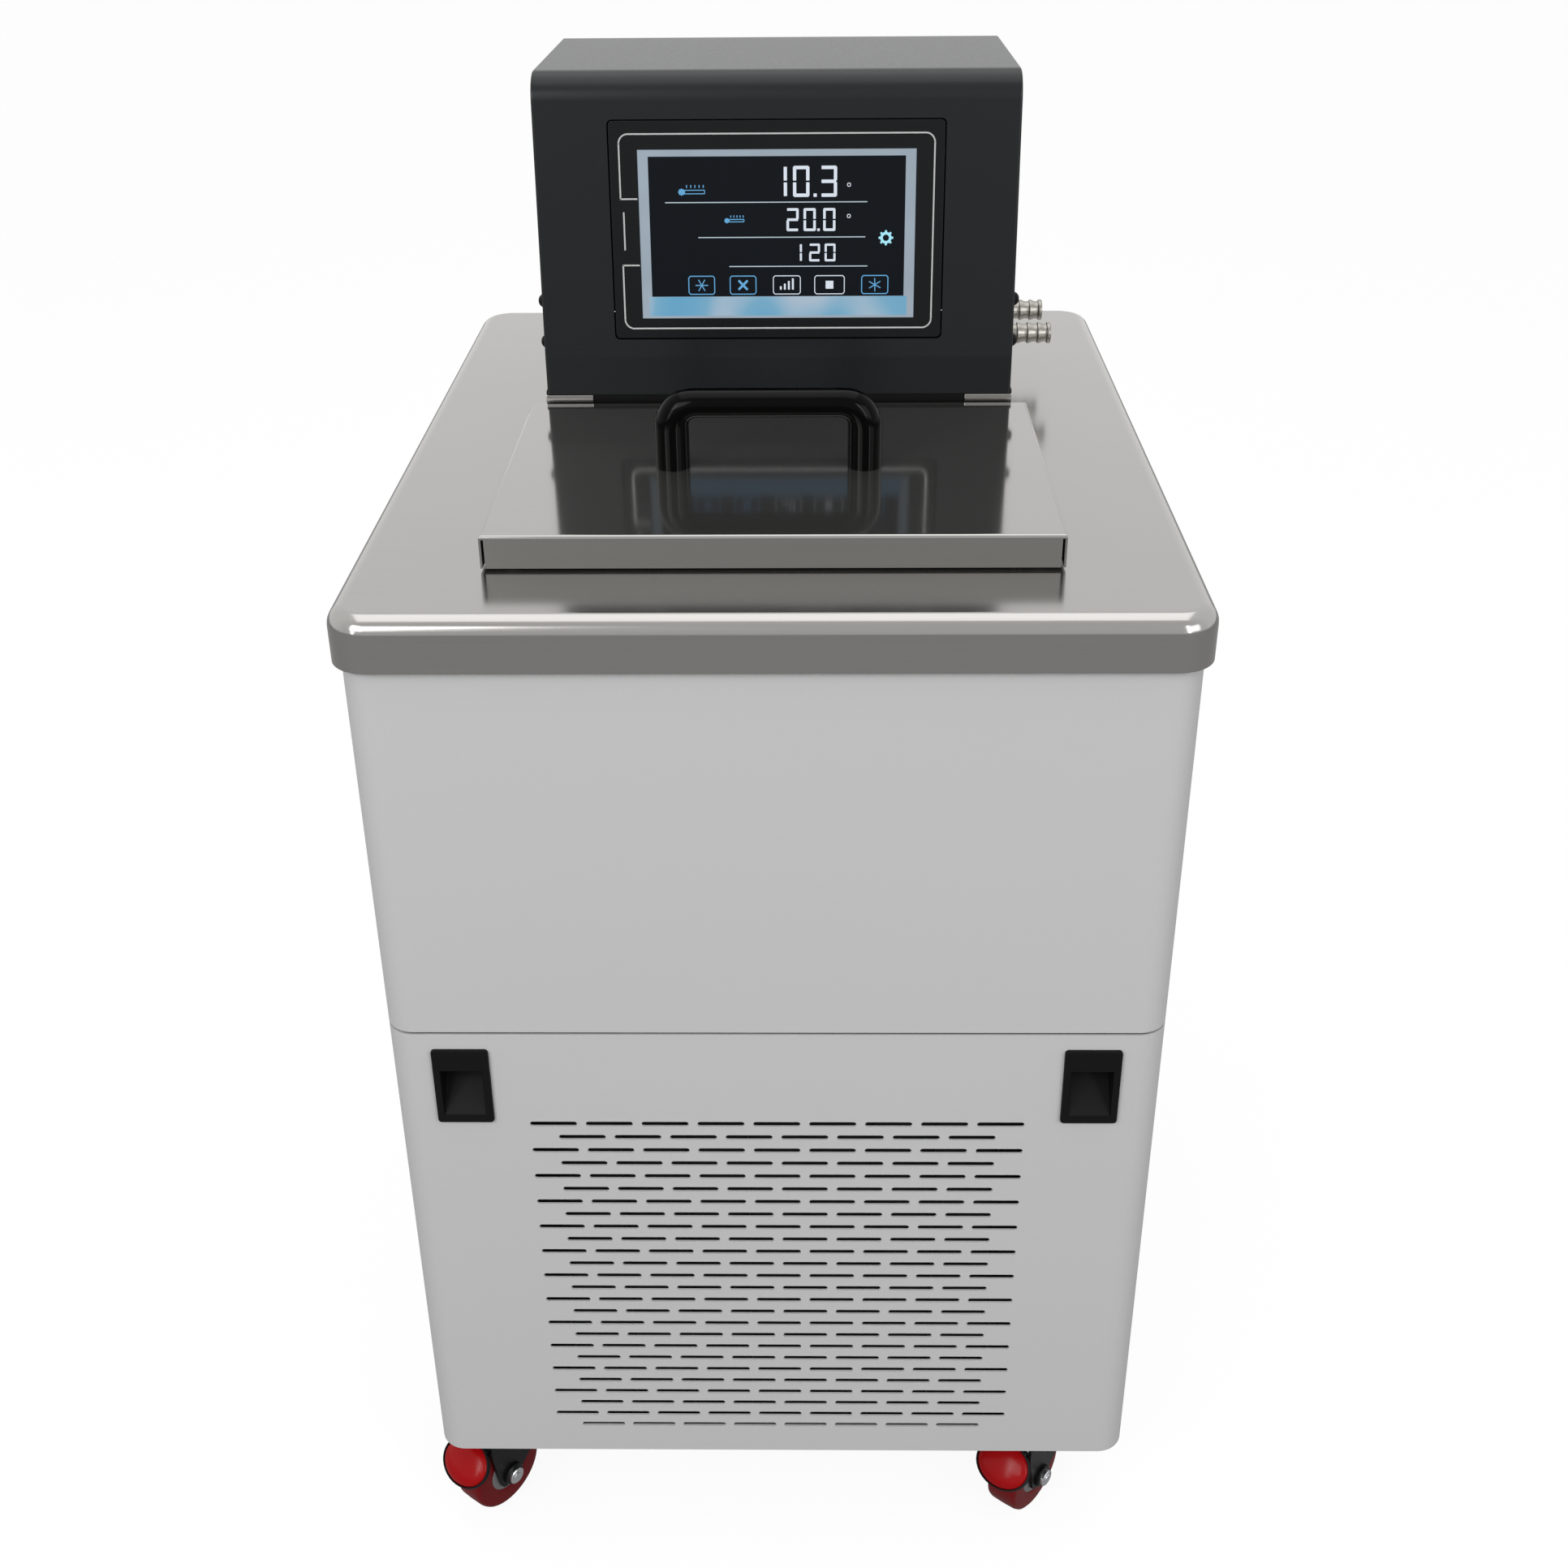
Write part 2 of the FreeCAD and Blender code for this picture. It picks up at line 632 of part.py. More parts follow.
def grip_span(side):
    """Left and right limits of the hole for one grip's body."""
    middle = side * s.grip_side
    reach = s.grip_width / 2 - s.grip_wall
    return middle - reach, middle + reach


grip_rise = (grip_level - s.grip_height / 2 + s.grip_wall, grip_level + s.grip_height / 2 - s.grip_wall)


def lower_shell():
    owner = wrap_shell("lower_shell", s.cab_bottom, s.seam_height - s.seam_gap / 2)
    holes = sketch(owner, "grip_holes", "XZ_Plane",
                   [rectangle(grip_span(side), grip_rise) for side in (-1, 1)])
    pocket(owner, holes, s.cab_depth + 40, both=True)
    top = s.seam_height - s.top_row
    slot_field(owner, "long_row_slot", s.row_slots, -(s.row_slots - 1) * s.slot_pitch / 2, top)
    slot_field(owner, "short_row_slot", s.row_slots - 1,
               -(s.row_slots - 2) * s.slot_pitch / 2, top - s.row_pitch)
    return node("lower_shell", owner)


def upper_shell():
    return node("upper_shell", wrap_shell("upper_shell", s.seam_height + s.seam_gap / 2, shell_top))


drain_y = half_depth - s.drain_inset
drop_y = head_front + s.tank_back - s.drain_drop
drain_level = shelf_top - s.pan_sheet - s.drain_radius - 4
recess_x = (-(s.recess_side + s.recess_width / 2), -(s.recess_side - s.recess_width / 2))
recess_z = (s.recess_low, s.recess_low + s.recess_height)
entry_x = (-(s.entry_side + s.entry_width / 2), -(s.entry_side - s.entry_width / 2))
entry_z = (s.entry_low, s.entry_low + s.entry_height)


def mid_shelf():
    shelf = tray("mid_shelf", (-inner_side, inner_side), (-inner_front, inner_rear),
                 (shelf_top - s.shelf_flange, shelf_top), s.pan_sheet, s.cab_radius, "down")
    hole = prism("shelf_drain_hole", 6, s.drain_radius + 2, s.shelf_flange * 2,
                 (-s.recess_side, drop_y, shelf_top - s.shelf_flange))
    return node("mid_shelf", cut("mid_shelf_cut", shelf, hole))


def rear_panel():
    owner = body("rear_panel_body")
    panel = rectangle((-panel_x, panel_x), (s.cab_bottom + s.fit_gap, shell_top))
    plate = sketch(owner, "rear_plate", "XZ_Plane", [panel], offset=-half_depth)
    pad(owner, plate, s.sheet)
    inset = 4
    openings = [rectangle((recess_x[0] + inset, recess_x[1] - inset), (recess_z[0] + inset, recess_z[1] - inset)),
                rectangle((entry_x[0] + inset, entry_x[1] - inset), (entry_z[0] + inset, entry_z[1] - inset))]
    holes = sketch(owner, "rear_openings", "XZ_Plane", openings, offset=-half_depth)
    pocket(owner, holes, s.sheet * 4, both=True)
    slot = sketch(owner, "rear_slot", "XZ_Plane", [rectangle(
        (s.louvre_side - s.louvre_width / 2, s.louvre_side + s.louvre_width / 2),
        (s.louvre_low, s.louvre_low + s.louvre_height))], offset=-half_depth)
    cutter = pocket(owner, slot, s.sheet * 4, both=True)
    rows = owner.newObject("PartDesign::LinearPattern", "rear_slots")
    rows.Originals = [cutter]
    rows.Direction = (role(owner, "Z_Axis"), [""])
    bind(rows, "Length", (s.louvre_rows - 1) * s.louvre_pitch)
    rows.Occurrences = int(s.louvre_rows.value)
    rows.setExpression("Occurrences", s.louvre_rows.text)
    owner.Tip = rows
    doc.recompute()
    return node("rear_panel", owner)


# Deck, tank and lid

def deck():
    """Pressed top with a rolled edge, a skirt over the shells and a raised collar round the bath."""
    side, end = half_width + s.deck_overhang, half_depth + s.deck_overhang
    low = deck_top - s.deck_skirt
    outside = rounded_block("deck_outside", (-side, side), (-end, end), (low, deck_top), s.deck_radius)
    # The rolled edge as three flats, whose corners lie on a quarter circle
    middle = s.deck_round * 0.63397
    for label, level, sizes in (("middle", deck_top, (middle,)),
                                ("lower", deck_top - middle, (s.deck_round * 0.36603, s.deck_round * 0.18946)),
                                ("upper", deck_top, (s.deck_round * 0.18946, s.deck_round * 0.36603))):
        chamfer(outside, f"deck_edge_{label}", lambda edge, at=level.value: all(
            abs(vertex.Z - at) < 1e-4 for vertex in edge.Vertexes), *sizes)
    collar = sketch(outside, "collar_ring", "XY_Plane",
                    [rectangle((-collar_x, collar_x), (collar_front, collar_back))], offset=deck_top)
    pad(outside, collar, s.collar_rise)
    inner_x, inner_y = side - s.deck_sheet, end - s.deck_sheet
    skirt = rounded_block("skirt_room", (-inner_x, inner_x), (-inner_y, inner_y),
                          (low - 1, deck_top - s.deck_step), (s.deck_radius - s.deck_sheet) * 0.7, flat=True)
    crown_x, crown_y = side - s.deck_crown, end - s.deck_crown
    crown = rounded_block("crown_room", (-crown_x, crown_x), (-crown_y, crown_y),
                          (low - 1, deck_under), s.deck_radius - s.deck_crown, flat=True)
    mouth = block("deck_mouth", (-collar_x + s.deck_sheet, collar_x - s.deck_sheet),
                  (collar_front + s.deck_sheet, collar_back - s.deck_sheet),
                  (low - 1, deck_top + s.collar_rise + 1))
    pump_way = block("deck_pump_way", (-(s.coil_side + 6), s.coil_side + 6),
                     (coil_y[0] - 6, coil_y[1] + 6), (low - 1, deck_top + 1))
    return node("deck", cut("deck_cut", outside, skirt, crown, mouth, pump_way))


tank_x = s.tank_width / 2 + s.tank_wall
tank_y = (collar_front - s.tank_front - s.tank_wall, head_front + s.tank_back + s.tank_wall)
tank_z = (deck_under - s.tank_depth - s.tank_wall, deck_under)


def tank():
    basin = tray("tank", (-tank_x, tank_x), tank_y, tank_z, s.tank_wall, s.tank_radius)
    hole = prism("tank_drain_hole", 6, s.drain_radius - 1, 10, (-s.recess_side, drop_y, tank_z[0] - 5))
    return node("tank", cut("tank_cut", basin, hole))


def tank_insulation():
    outside = block("foam_outside", (-tank_x - s.foam_side, tank_x + s.foam_side),
                    (tank_y[0] - s.foam_side, tank_y[1] + s.foam_side), (shelf_top, deck_under))
    inside = block("foam_inside", (-tank_x, tank_x), tank_y, (tank_z[0], deck_under + 10))
    hole = prism("foam_drain_hole", 6, s.drain_radius + 2, tank_z[0] - shelf_top + 20,
                 (-s.recess_side, drop_y, shelf_top - 10))
    return node("tank_insulation", cut("foam_cut", outside, inside, hole))


def lid():
    half = s.lid_width / 2
    low = deck_top + s.lid_lift
    owner = tray("lid", (-half, half), (lid_front, lid_back), (low, lid_top), s.lid_sheet, mouth="down")
    slits = []
    for near, far in ((-half, -half + s.lid_notch), (half - s.lid_notch, half)):
        for front, back in ((lid_front, lid_front + s.lid_notch), (lid_back - s.lid_notch, lid_back)):
            slits.append(rectangle((near, far), (front, back)))
    slit = sketch(owner, "corner_slits", "XY_Plane", slits, offset=low)
    pocket(owner, slit, lid_top - low - s.lid_sheet, back=True)
    return node("lid", owner)


def lid_gasket():
    level = (deck_top + s.collar_rise, lid_top - s.lid_sheet)
    middle = s.deck_sheet / 2
    outer = s.gasket_width / 2 - middle
    inner = s.gasket_width / 2 + middle
    outside = block("gasket_outside", (-collar_x - outer, collar_x + outer),
                    (collar_front - outer, collar_back + outer), level)
    inside = block("gasket_inside", (-collar_x + inner, collar_x - inner),
                   (collar_front + inner, collar_back - inner), (level[0] - 1, level[1] + 1))
    return node("lid_gasket", cut("gasket_cut", outside, inside))


handle_y = (lid_front + lid_back) / 2 - s.handle_forward
handle_legs = (s.handle_shift - s.handle_pitch / 2, s.handle_shift + s.handle_pitch / 2)


def oval(centre, width, thick, sides=10):
    """A flat-sided oval around an upright line, as a closed wire."""
    turns = [2 * math.pi * (index + 0.5) / sides for index in range(sides)]
    ring = [V(centre[0] + width / 2 * math.cos(turn), centre[1] + thick / 2 * math.sin(turn), centre[2])
            for turn in turns]
    return Part.makePolygon(ring + ring[:1])


def lid_handle():
    foot = lid_top
    bridge = lid_top + s.handle_rise
    route = [(handle_legs[0], handle_y, foot), (handle_legs[0], handle_y, bridge),
             (handle_legs[1], handle_y, bridge), (handle_legs[1], handle_y, foot)]
    section = oval((handle_legs[0].value, handle_y.value, foot.value), s.handle_width.value, s.handle_thick.value)
    return node("lid_handle", drawn("handle_bar", rod(route, 0, s.handle_bend, section)))


def handle_screws():
    heads = [prism(f"handle_screw_{index}", 6, 5, 3, (leg, handle_y, lid_top - s.lid_sheet - 3))
             for index, leg in enumerate(handle_legs)]
    return node("handle_screws", compound("handle_screw_pair", heads))


# Control head: stainless base, folded cover, display and rear cover

base_x = s.base_width / 2
base_y = (head_front + s.base_inset, head_rear - 1)


def head_base():
    box = tray("head_base", (-base_x, base_x), base_y, (deck_top, base_top), s.head_sheet, mouth="down")
    under = base_top - s.head_sheet * 2
    holes = [prism("shaft_hole", 6, s.shaft_radius + 5, s.head_sheet * 4, (0, pump_y, under))]
    for label, back in (("outlet", pump_y), ("return", return_y)):
        holes.append(prism(f"{label}_riser_hole", 6, s.nozzle_radius + 2, s.head_sheet * 4,
                           (s.riser_side, back, under)))
    return node("head_base", cut("head_base_cut", box, *holes))


lean_sine, lean_cosine = sine(s.head_lean), cosine(s.head_lean)
lean_turn = FreeCAD.Rotation(V(1, 0, 0), -s.head_lean.value)


def on_face(up, depth):
    """Row position of a point on the leaning face: a height above the fold and a depth into the head."""
    return head_front + up * lean_sine + depth * lean_cosine, fold_level + up * lean_cosine - depth * lean_sine


def face_block(name, width, foot, height, depth, thick):
    """A box that lies in the leaning face, centred across."""
    obj = doc.addObject("Part::Box", name)
    bind(obj, "Length", width)
    bind(obj, "Width", thick)
    bind(obj, "Height", height)
    y, z = on_face(dim(foot), dim(depth))
    return place(obj, (-width / 2, y, z), lean_turn)


def head_cover():
    owner = body("head_cover_body")
    top_front = (s.head_rise - s.fold_rise) * lean_sine / lean_cosine
    outline = [(head_front, base_top), (head_front, fold_level),
               (head_front + top_front, deck_top + s.head_rise),
               (head_rear, deck_top + s.head_rise - s.head_fall), (head_rear, base_top)]
    profile = sketch(owner, "head_profile", "YZ_Plane", [outline])
    pad(owner, profile, s.head_width, both=True)
    ridge = (deck_top + s.head_rise).value
    round_edges(owner, "head_top_bend", s.head_bend, lambda edge: all(
        abs(vertex.Z - ridge) < 1e-6 for vertex in edge.Vertexes))
    hollow(owner, "head_shell", s.head_sheet, lambda box: abs(box.ZMax - base_top.value) < 1e-6
           or abs(box.YMin - head_rear.value) < 1e-6)
    gap = s.fit_gap
    window = face_block("bezel_window", s.bezel_width + 2 * gap, s.bezel_foot - gap,
                        s.bezel_height + 2 * gap, -10, dim(20))
    holes = [prism(f"{label}_nozzle_hole", 6, s.nozzle_radius + 1.5, 20,
                   (s.head_width / 2 - 10, back, deck_top + s.nozzle_rise), "x")
             for label, back in (("outlet", pump_y), ("return", return_y))]
    return node("head_cover", cut("head_cover_cut", owner, window, *holes))


def head_back():
    owner = body("head_back_body")
    side = s.head_width / 2 - s.head_sheet - s.fit_gap
    top = deck_top + s.head_rise - s.head_fall - s.head_sheet - s.fit_gap - 0.1
    plate = sketch(owner, "head_back_plate", "XZ_Plane",
                   [rectangle((-side, side), (base_top + s.fit_gap, top))], offset=-(head_rear - s.fit_gap))
    pad(owner, plate, s.head_sheet)
    slots = []
    for column in (-1, 1):
        middle = column * s.vent_width * 0.6
        for row in range(3):
            low = deck_top + s.vent_low + row * s.vent_pitch
            slots.append(rectangle((middle - s.vent_width / 2, middle + s.vent_width / 2), (low, low + s.vent_height)))
    vents = sketch(owner, "head_vents", "XZ_Plane", slots, offset=-head_rear)
    pocket(owner, vents, s.head_sheet * 4, both=True)
    return node("head_back", owner)


def display_bezel():
    gap = s.fit_gap
    frame = face_block("bezel_frame", s.bezel_width, s.bezel_foot, s.bezel_height, s.bezel_sink, s.bezel_thick)
    window = face_block("bezel_opening", s.screen_width + 2 * gap, s.screen_foot - gap,
                        s.screen_height + 2 * gap, s.bezel_sink - 5, s.bezel_thick + 10)
    return node("display_bezel", cut("bezel_cut", frame, window))


def display_panel():
    return node("display_panel", face_block("display_glass", s.screen_width, s.screen_foot, s.screen_height,
                                            s.bezel_sink + 0.2, s.bezel_thick + s.screen_thick))


def control_board():
    depth = s.bezel_sink + s.bezel_thick + s.screen_thick + 0.2
    return node("control_board", face_block("board", s.screen_width + 14, s.screen_foot - 6,
                                            s.screen_height + 12, depth, dim(8)))


def cover_screws():
    heads = []
    for side in (-1, 1):
        outer = side * s.head_width / 2
        start = outer if side > 0 else outer - s.knob_proud
        for rise in (s.knob_low, s.knob_high):
            heads.append(prism(f"cover_screw_{len(heads)}", 8, s.knob_radius, s.knob_proud,
                               (start, head_front + s.knob_back, deck_top + rise), "x"))
    return node("cover_screws", compound("cover_screw_set", heads))


# Stirring pump, its two hose nozzles, heater, coil and probe

def socket_radius(shaft):
    """Corner radius of a sixteen-sided hole in which a shaft of this radius turns freely."""
    return (shaft + s.shaft_gap / 2) / cosine(Dim(11.25, "11.25"))


base_under = base_top - s.head_sheet
pump_z = (deck_top - s.pump_low, deck_top - s.pump_low + s.pump_height)
rotor_z = pump_z[0] + s.pump_height / 2 - s.rotor_height / 2


def pump_motor():
    owner = body("pump_motor_body")
    half, corner = s.motor_size / 2, s.motor_corner
    near, far = pump_y - half, pump_y + half
    outline = [(-half + corner, near), (half - corner, near), (half, near + corner), (half, far - corner),
               (half - corner, far), (-half + corner, far), (-half, far - corner), (-half, near + corner)]
    pad(owner, sketch(owner, "motor_plan", "XY_Plane", [outline], offset=base_top), s.motor_height)
    socket = prism("motor_socket", 16, socket_radius(s.shaft_radius), s.shaft_socket + 3,
                   (0, pump_y, base_top - 1))
    return node("pump_motor", cut("pump_motor_cut", owner, socket))


def pump_shaft():
    top = base_top + s.shaft_socket
    return node("pump_shaft", prism("pump_shaft_bar", 16, s.shaft_radius, top - rotor_z, (0, pump_y, rotor_z)))


def impeller():
    reach, blade = s.rotor_radius, 2
    hub = prism("impeller_hub", 6, s.shaft_radius * 2, s.rotor_height, (0, pump_y, rotor_z))
    vanes = [block("impeller_cross", (-reach, reach), (pump_y - blade, pump_y + blade),
                   (rotor_z, rotor_z + s.rotor_height)),
             block("impeller_long", (-blade, blade), (pump_y - reach, pump_y + reach),
                   (rotor_z, rotor_z + s.rotor_height))]
    bore = prism("impeller_bore", 8, s.shaft_radius / cosine(Dim(22.5, "22.5")), s.rotor_height + 2,
                 (0, pump_y, rotor_z - 1))
    return node("impeller", cut("impeller_cut", fuse("impeller_solid", hub, *vanes), bore))


def pump_housing():
    half = s.pump_size / 2
    case = block("pump_case", (-half, half), (pump_y - half, pump_y + half), pump_z)
    columns = [prism(f"pump_column_{index}", 6, s.column_radius, base_under - pump_z[1] + 2,
                        (side * s.column_spread, pump_y + side * s.column_spread, pump_z[1] - 2))
               for index, side in enumerate((-1, 1))]
    room = prism("pump_room", 12, s.rotor_radius + s.rotor_gap, s.rotor_height + 6, (0, pump_y, rotor_z - 3))
    way = prism("pump_shaft_way", 6, s.shaft_radius + 1.5, s.pump_height, (0, pump_y, rotor_z))
    inlet = prism("pump_inlet", 8, s.suction_radius, s.pump_height / 2, (0, pump_y, pump_z[0] - 1))
    return node("pump_housing", cut("pump_cut", fuse("pump_solid", case, *columns), room, way, inlet))


def nozzle(label, back, foot):
    """A riser that turns out through the head's side and ends in a barbed hose nozzle."""
    level = deck_top + s.nozzle_rise
    side = s.head_width / 2
    tip = side + s.nozzle_reach
    pipe = drawn(f"{label}_riser", rod(foot + [(s.riser_side, back, level), (tip, back, level)], s.nozzle_radius))
    barbs = [prism(f"{label}_barb_{index}", 8, s.barb_radius, s.barb_length,
                   (tip - s.barb_length - index * s.barb_pitch, back, level), "x") for index in range(4)]
    nut = prism(f"{label}_nut", 6, s.nozzle_nut, 4.5, (side + 0.1, back, level), "x")
    bore = prism(f"{label}_bore", 8, s.nozzle_bore, s.nozzle_reach, (side, back, level), "x")
    solid = fuse(f"{label}_solid", pipe, nut, *barbs)
    return node(f"{label}_pipe", cut(f"{label}_cut", solid, bore))


def outlet_pipe():
    level = rotor_z + s.rotor_height / 2
    return nozzle("outlet", pump_y, [(s.pump_size / 2, pump_y, level), (s.riser_side, pump_y, level)])


def return_pipe():
    return nozzle("return", return_y, [(s.riser_side, return_y, deck_top - s.return_low)])


def heater():
    legs = heater_y
    low = deck_top - s.heater_low
    route = [(-s.heater_side, legs[0], base_under), (-s.heater_side, legs[0], low),
             (-s.heater_side, legs[1], low), (-s.heater_side, legs[1], base_under)]
    return node("heater", drawn("heater_loop", rod(route, s.heater_radius, sides=6)))


def evaporator_coil():
    """Three rising rectangular turns, with both ends led up to the head's base."""
    side, (front, back) = s.coil_side, coil_y
    corners = [(-side, front), (side, front), (side, back), (-side, back)]
    level = deck_top - s.coil_low
    route = [(-side, front, base_under)]
    for turn in range(3):
        for index, (x, y) in enumerate(corners):
            if turn == 0 and index == 0:
                route.append((x, y, level))
            elif index == 0:
                route.append((x + 12, y, level + s.coil_pitch * turn))
            else:
                route.append((x, y, level + s.coil_pitch * (turn + index / 4)))
    route.append((-side, back, base_under))
    return node("evaporator_coil", drawn("coil_tube", rod(route, s.coil_radius, sides=6)))


def temperature_probe():
    low = deck_top - s.probe_low
    return node("temperature_probe", prism("probe_tube", 8, s.probe_radius, base_under - low,
                                           (-s.heater_side + 22, heater_y[0] - 12, low)))


# Refrigeration and power in the lower compartment

condenser_low = pan_top + 4
condenser_front = -half_depth + s.sheet + s.condenser_gap
core_front = condenser_front + s.fin_proud
shroud_front = core_front + s.condenser_core + 0.2
fan_level = condenser_low + s.condenser_height / 2
half_condenser = s.condenser_width / 2


def condenser():
    high = condenser_low + s.condenser_height
    core = block("condenser_core_block", (-half_condenser, half_condenser),
                 (core_front, core_front + s.condenser_core), (condenser_low, high))
    feet = block("condenser_foot", (-half_condenser, half_condenser),
                 (core_front, core_front + s.condenser_core), (pan_top, condenser_low + 1))
    pitch = s.condenser_width / s.fin_count
    fins = []
    for index in range(int(s.fin_count.value)):
        left = -half_condenser + (index + 0.5) * pitch
        fins.append(block(f"fin_{index}", (left, left + s.fin_thick), (condenser_front, core_front + 1),
                          (condenser_low + 6, high - 6)))
    return node("condenser", fuse("condenser_solid", core, feet, *fins))


def fan_shroud():
    high = condenser_low + s.condenser_height
    back = shroud_front + s.shroud_depth
    shell = block("shroud_shell", (-half_condenser, half_condenser), (shroud_front, back), (pan_top, high))
    wall = s.shroud_sheet
    inside = block("shroud_inside", (-half_condenser + wall, half_condenser - wall),
                   (shroud_front - 1, back - wall), (pan_top + wall, high - wall))
    mouth = prism("shroud_mouth", 16, s.fan_radius + s.fan_gap, wall * 4, (0, back - wall * 2, fan_level), "y")
    strap_y = (back - wall, back)
    hub = s.fan_motor_size / 2
    straps = [block("motor_strap", (-hub, hub), strap_y, (fan_level - s.fan_radius - 12, fan_level + s.fan_radius + 12))]
    shaft_way = prism("strap_hole", 8, s.fan_shaft + 1.5, wall * 4, (0, back - wall * 2, fan_level), "y")
    frame = cut("shroud_frame", shell, inside, mouth)
    return node("fan_shroud", cut("shroud_cut", fuse("shroud_solid", frame, *straps), shaft_way))


motor_front = shroud_front + s.shroud_depth


def fan_motor():
    half = s.fan_motor_size / 2
    case = block("fan_motor_case", (-half, half), (motor_front, motor_front + s.fan_motor_depth),
                 (fan_level - half, fan_level + half))
    socket = prism("fan_motor_socket", 16, socket_radius(s.fan_shaft), s.fan_socket + 4,
                   (0, motor_front - 1, fan_level), "y")
    return node("fan_motor", cut("fan_motor_cut", case, socket))


def fan_blades():
    """Hub, shaft and pitched blades, turned as one."""
    hub_front = motor_front - s.shroud_sheet - s.hub_gap - s.fan_hub_depth
    hub = prism("fan_hub_drum", 10, s.fan_hub, s.fan_hub_depth, (0, hub_front, fan_level), "y")
    shaft = prism("fan_shaft_bar", 8, s.fan_shaft, s.fan_hub_depth + s.hub_gap + s.shroud_sheet + s.fan_socket,
                  (0, hub_front, fan_level), "y")
    blades = []
    count = int(s.fan_blades.value)
    for index in range(count):
        blade = doc.addObject("Part::Box", f"fan_blade_{index}")
        width = s.fan_radius * 0.42
        bind(blade, "Length", width)
        bind(blade, "Width", s.blade_thick)
        bind(blade, "Height", s.fan_radius - s.fan_hub + 4)
        turn = FreeCAD.Rotation(V(0, 1, 0), 360 * index / count)
        pitch = FreeCAD.Rotation(V(0, 0, 1), s.fan_pitch.value)
        offset = turn.multVec(pitch.multVec(V(-width.value / 2, -s.blade_thick.value / 2, 0)) + V(0, 0, s.fan_hub.value - 4))
        centre = V(0, (hub_front + s.fan_hub_depth / 2).value, fan_level.value)
        blade.Placement = FreeCAD.Placement(centre + offset, turn.multiply(pitch))
        blades.append(blade)
    return node("fan_blades", fuse("fan_solid", hub, shaft, *blades))


can_low = pan_top + s.can_lift


def compressor():
    """Welded can on its foot plate."""
    plate_half = s.foot_plate / 2
    plate = block("compressor_plate", (s.can_side - plate_half, s.can_side + plate_half),
                  (can_y - plate_half, can_y + plate_half), (can_low, can_low + s.foot_sheet))
    foot = can_low + s.foot_sheet
    can = prism("compressor_can", 12, s.can_radius, s.can_height, (s.can_side, can_y, foot))
    shoulder = bevelled("compressor_shoulder", can, s.can_dome,
                        lambda vertex: abs(vertex.Z - (foot + s.can_height).value) < 1e-6)
    return node("compressor", fuse("compressor_solid", plate, shoulder))


def compressor_mounts():
    reach = s.foot_plate / 2 - s.foot_radius
    grommets = [prism(f"compressor_mount_{index}", 6, s.foot_radius, s.can_lift,
                      (s.can_side + x * reach, can_y + y * reach, pan_top))
                for index, (x, y) in enumerate(((-1, -1), (1, -1), (1, 1), (-1, 1)))]
    return node("compressor_mounts", compound("compressor_mount_set", grommets))


def refrigerant_pipes():
    """Hot gas to the condenser, and liquid up towards the coil through its drier."""
    can_top = can_low + s.foot_sheet + s.can_height - s.can_dome
    gas_x = half_condenser + 10
    entry_y = core_front + s.condenser_core / 2
    gas_level = condenser_low + s.condenser_height - 20
    gas = drawn("hot_gas_pipe", rod([(s.can_side + s.can_radius, can_y, can_top - 30),
                                     (gas_x, can_y, can_top - 30), (gas_x, entry_y, can_top - 30),
                                     (gas_x, entry_y, gas_level), (half_condenser, entry_y, gas_level)],
                                    s.tube_radius, sides=6))
    low = condenser_low + 20
    side = -(half_condenser + 10)
    rise = shelf_top - s.pan_sheet
    liquid = drawn("liquid_pipe", rod([(-half_condenser, entry_y, low), (side, entry_y, low),
                                       (side, 0, low), (side, 0, rise)], s.tube_radius, sides=6))
    drier = prism("filter_drier", 10, 11, 90, (side, 0, low + 60))
    return node("refrigerant_pipes", compound("pipe_set", [gas, fuse("liquid_line", liquid, drier)]))


def control_box():
    left, back = -inner_side + 14, half_depth - s.box_inset
    return node("control_box", block("control_box_case", (left, left + s.box_width),
                                     (back - s.box_depth, back), (pan_top, pan_top + s.box_height)))


# Pieces on the outside of the cabinet

def grip(name, side):
    """Recessed grip: a rim on the panel and a finger well whose floor slopes out to its lower edge."""
    middle = side * s.grip_side
    front = -half_depth - s.grip_proud
    rim_x = (middle - s.grip_width / 2, middle + s.grip_width / 2)
    rim_z = (grip_level - s.grip_height / 2, grip_level + s.grip_height / 2)
    rim = block(f"{name}_rim", rim_x, (front, dim(-half_depth)), rim_z)
    bevel = bevelled(f"{name}_bevel", rim, 1.2, lambda vertex: abs(vertex.Y - front.value) < 1e-6)
    cup_x = grip_span(side)
    gap = s.fit_gap
    well_x = (rim_x[0] + s.grip_rim_side, rim_x[1] - s.grip_rim_side)
    well_z = (rim_z[0] + s.grip_rim_low, rim_z[1] - s.grip_rim_top)
    back = -half_depth + s.grip_depth
    cup = block(f"{name}_cup", (cup_x[0] + gap, cup_x[1] - gap), (dim(-half_depth), back),
                (grip_rise[0] + gap, grip_rise[1] - gap))
    owner = body(f"{name}_well_body")
    slope = [(front - 1, well_z[0]), (front + 2, well_z[0]), (back - s.grip_wall, well_z[1] - 6),
             (back - s.grip_wall, well_z[1]), (front - 1, well_z[1])]
    profile = sketch(owner, f"{name}_slope", "YZ_Plane", [slope], offset=well_x[0])
    pad(owner, profile, well_x[1] - well_x[0])
    return node(name, cut(f"{name}_cut", fuse(f"{name}_solid", bevel, cup), owner))


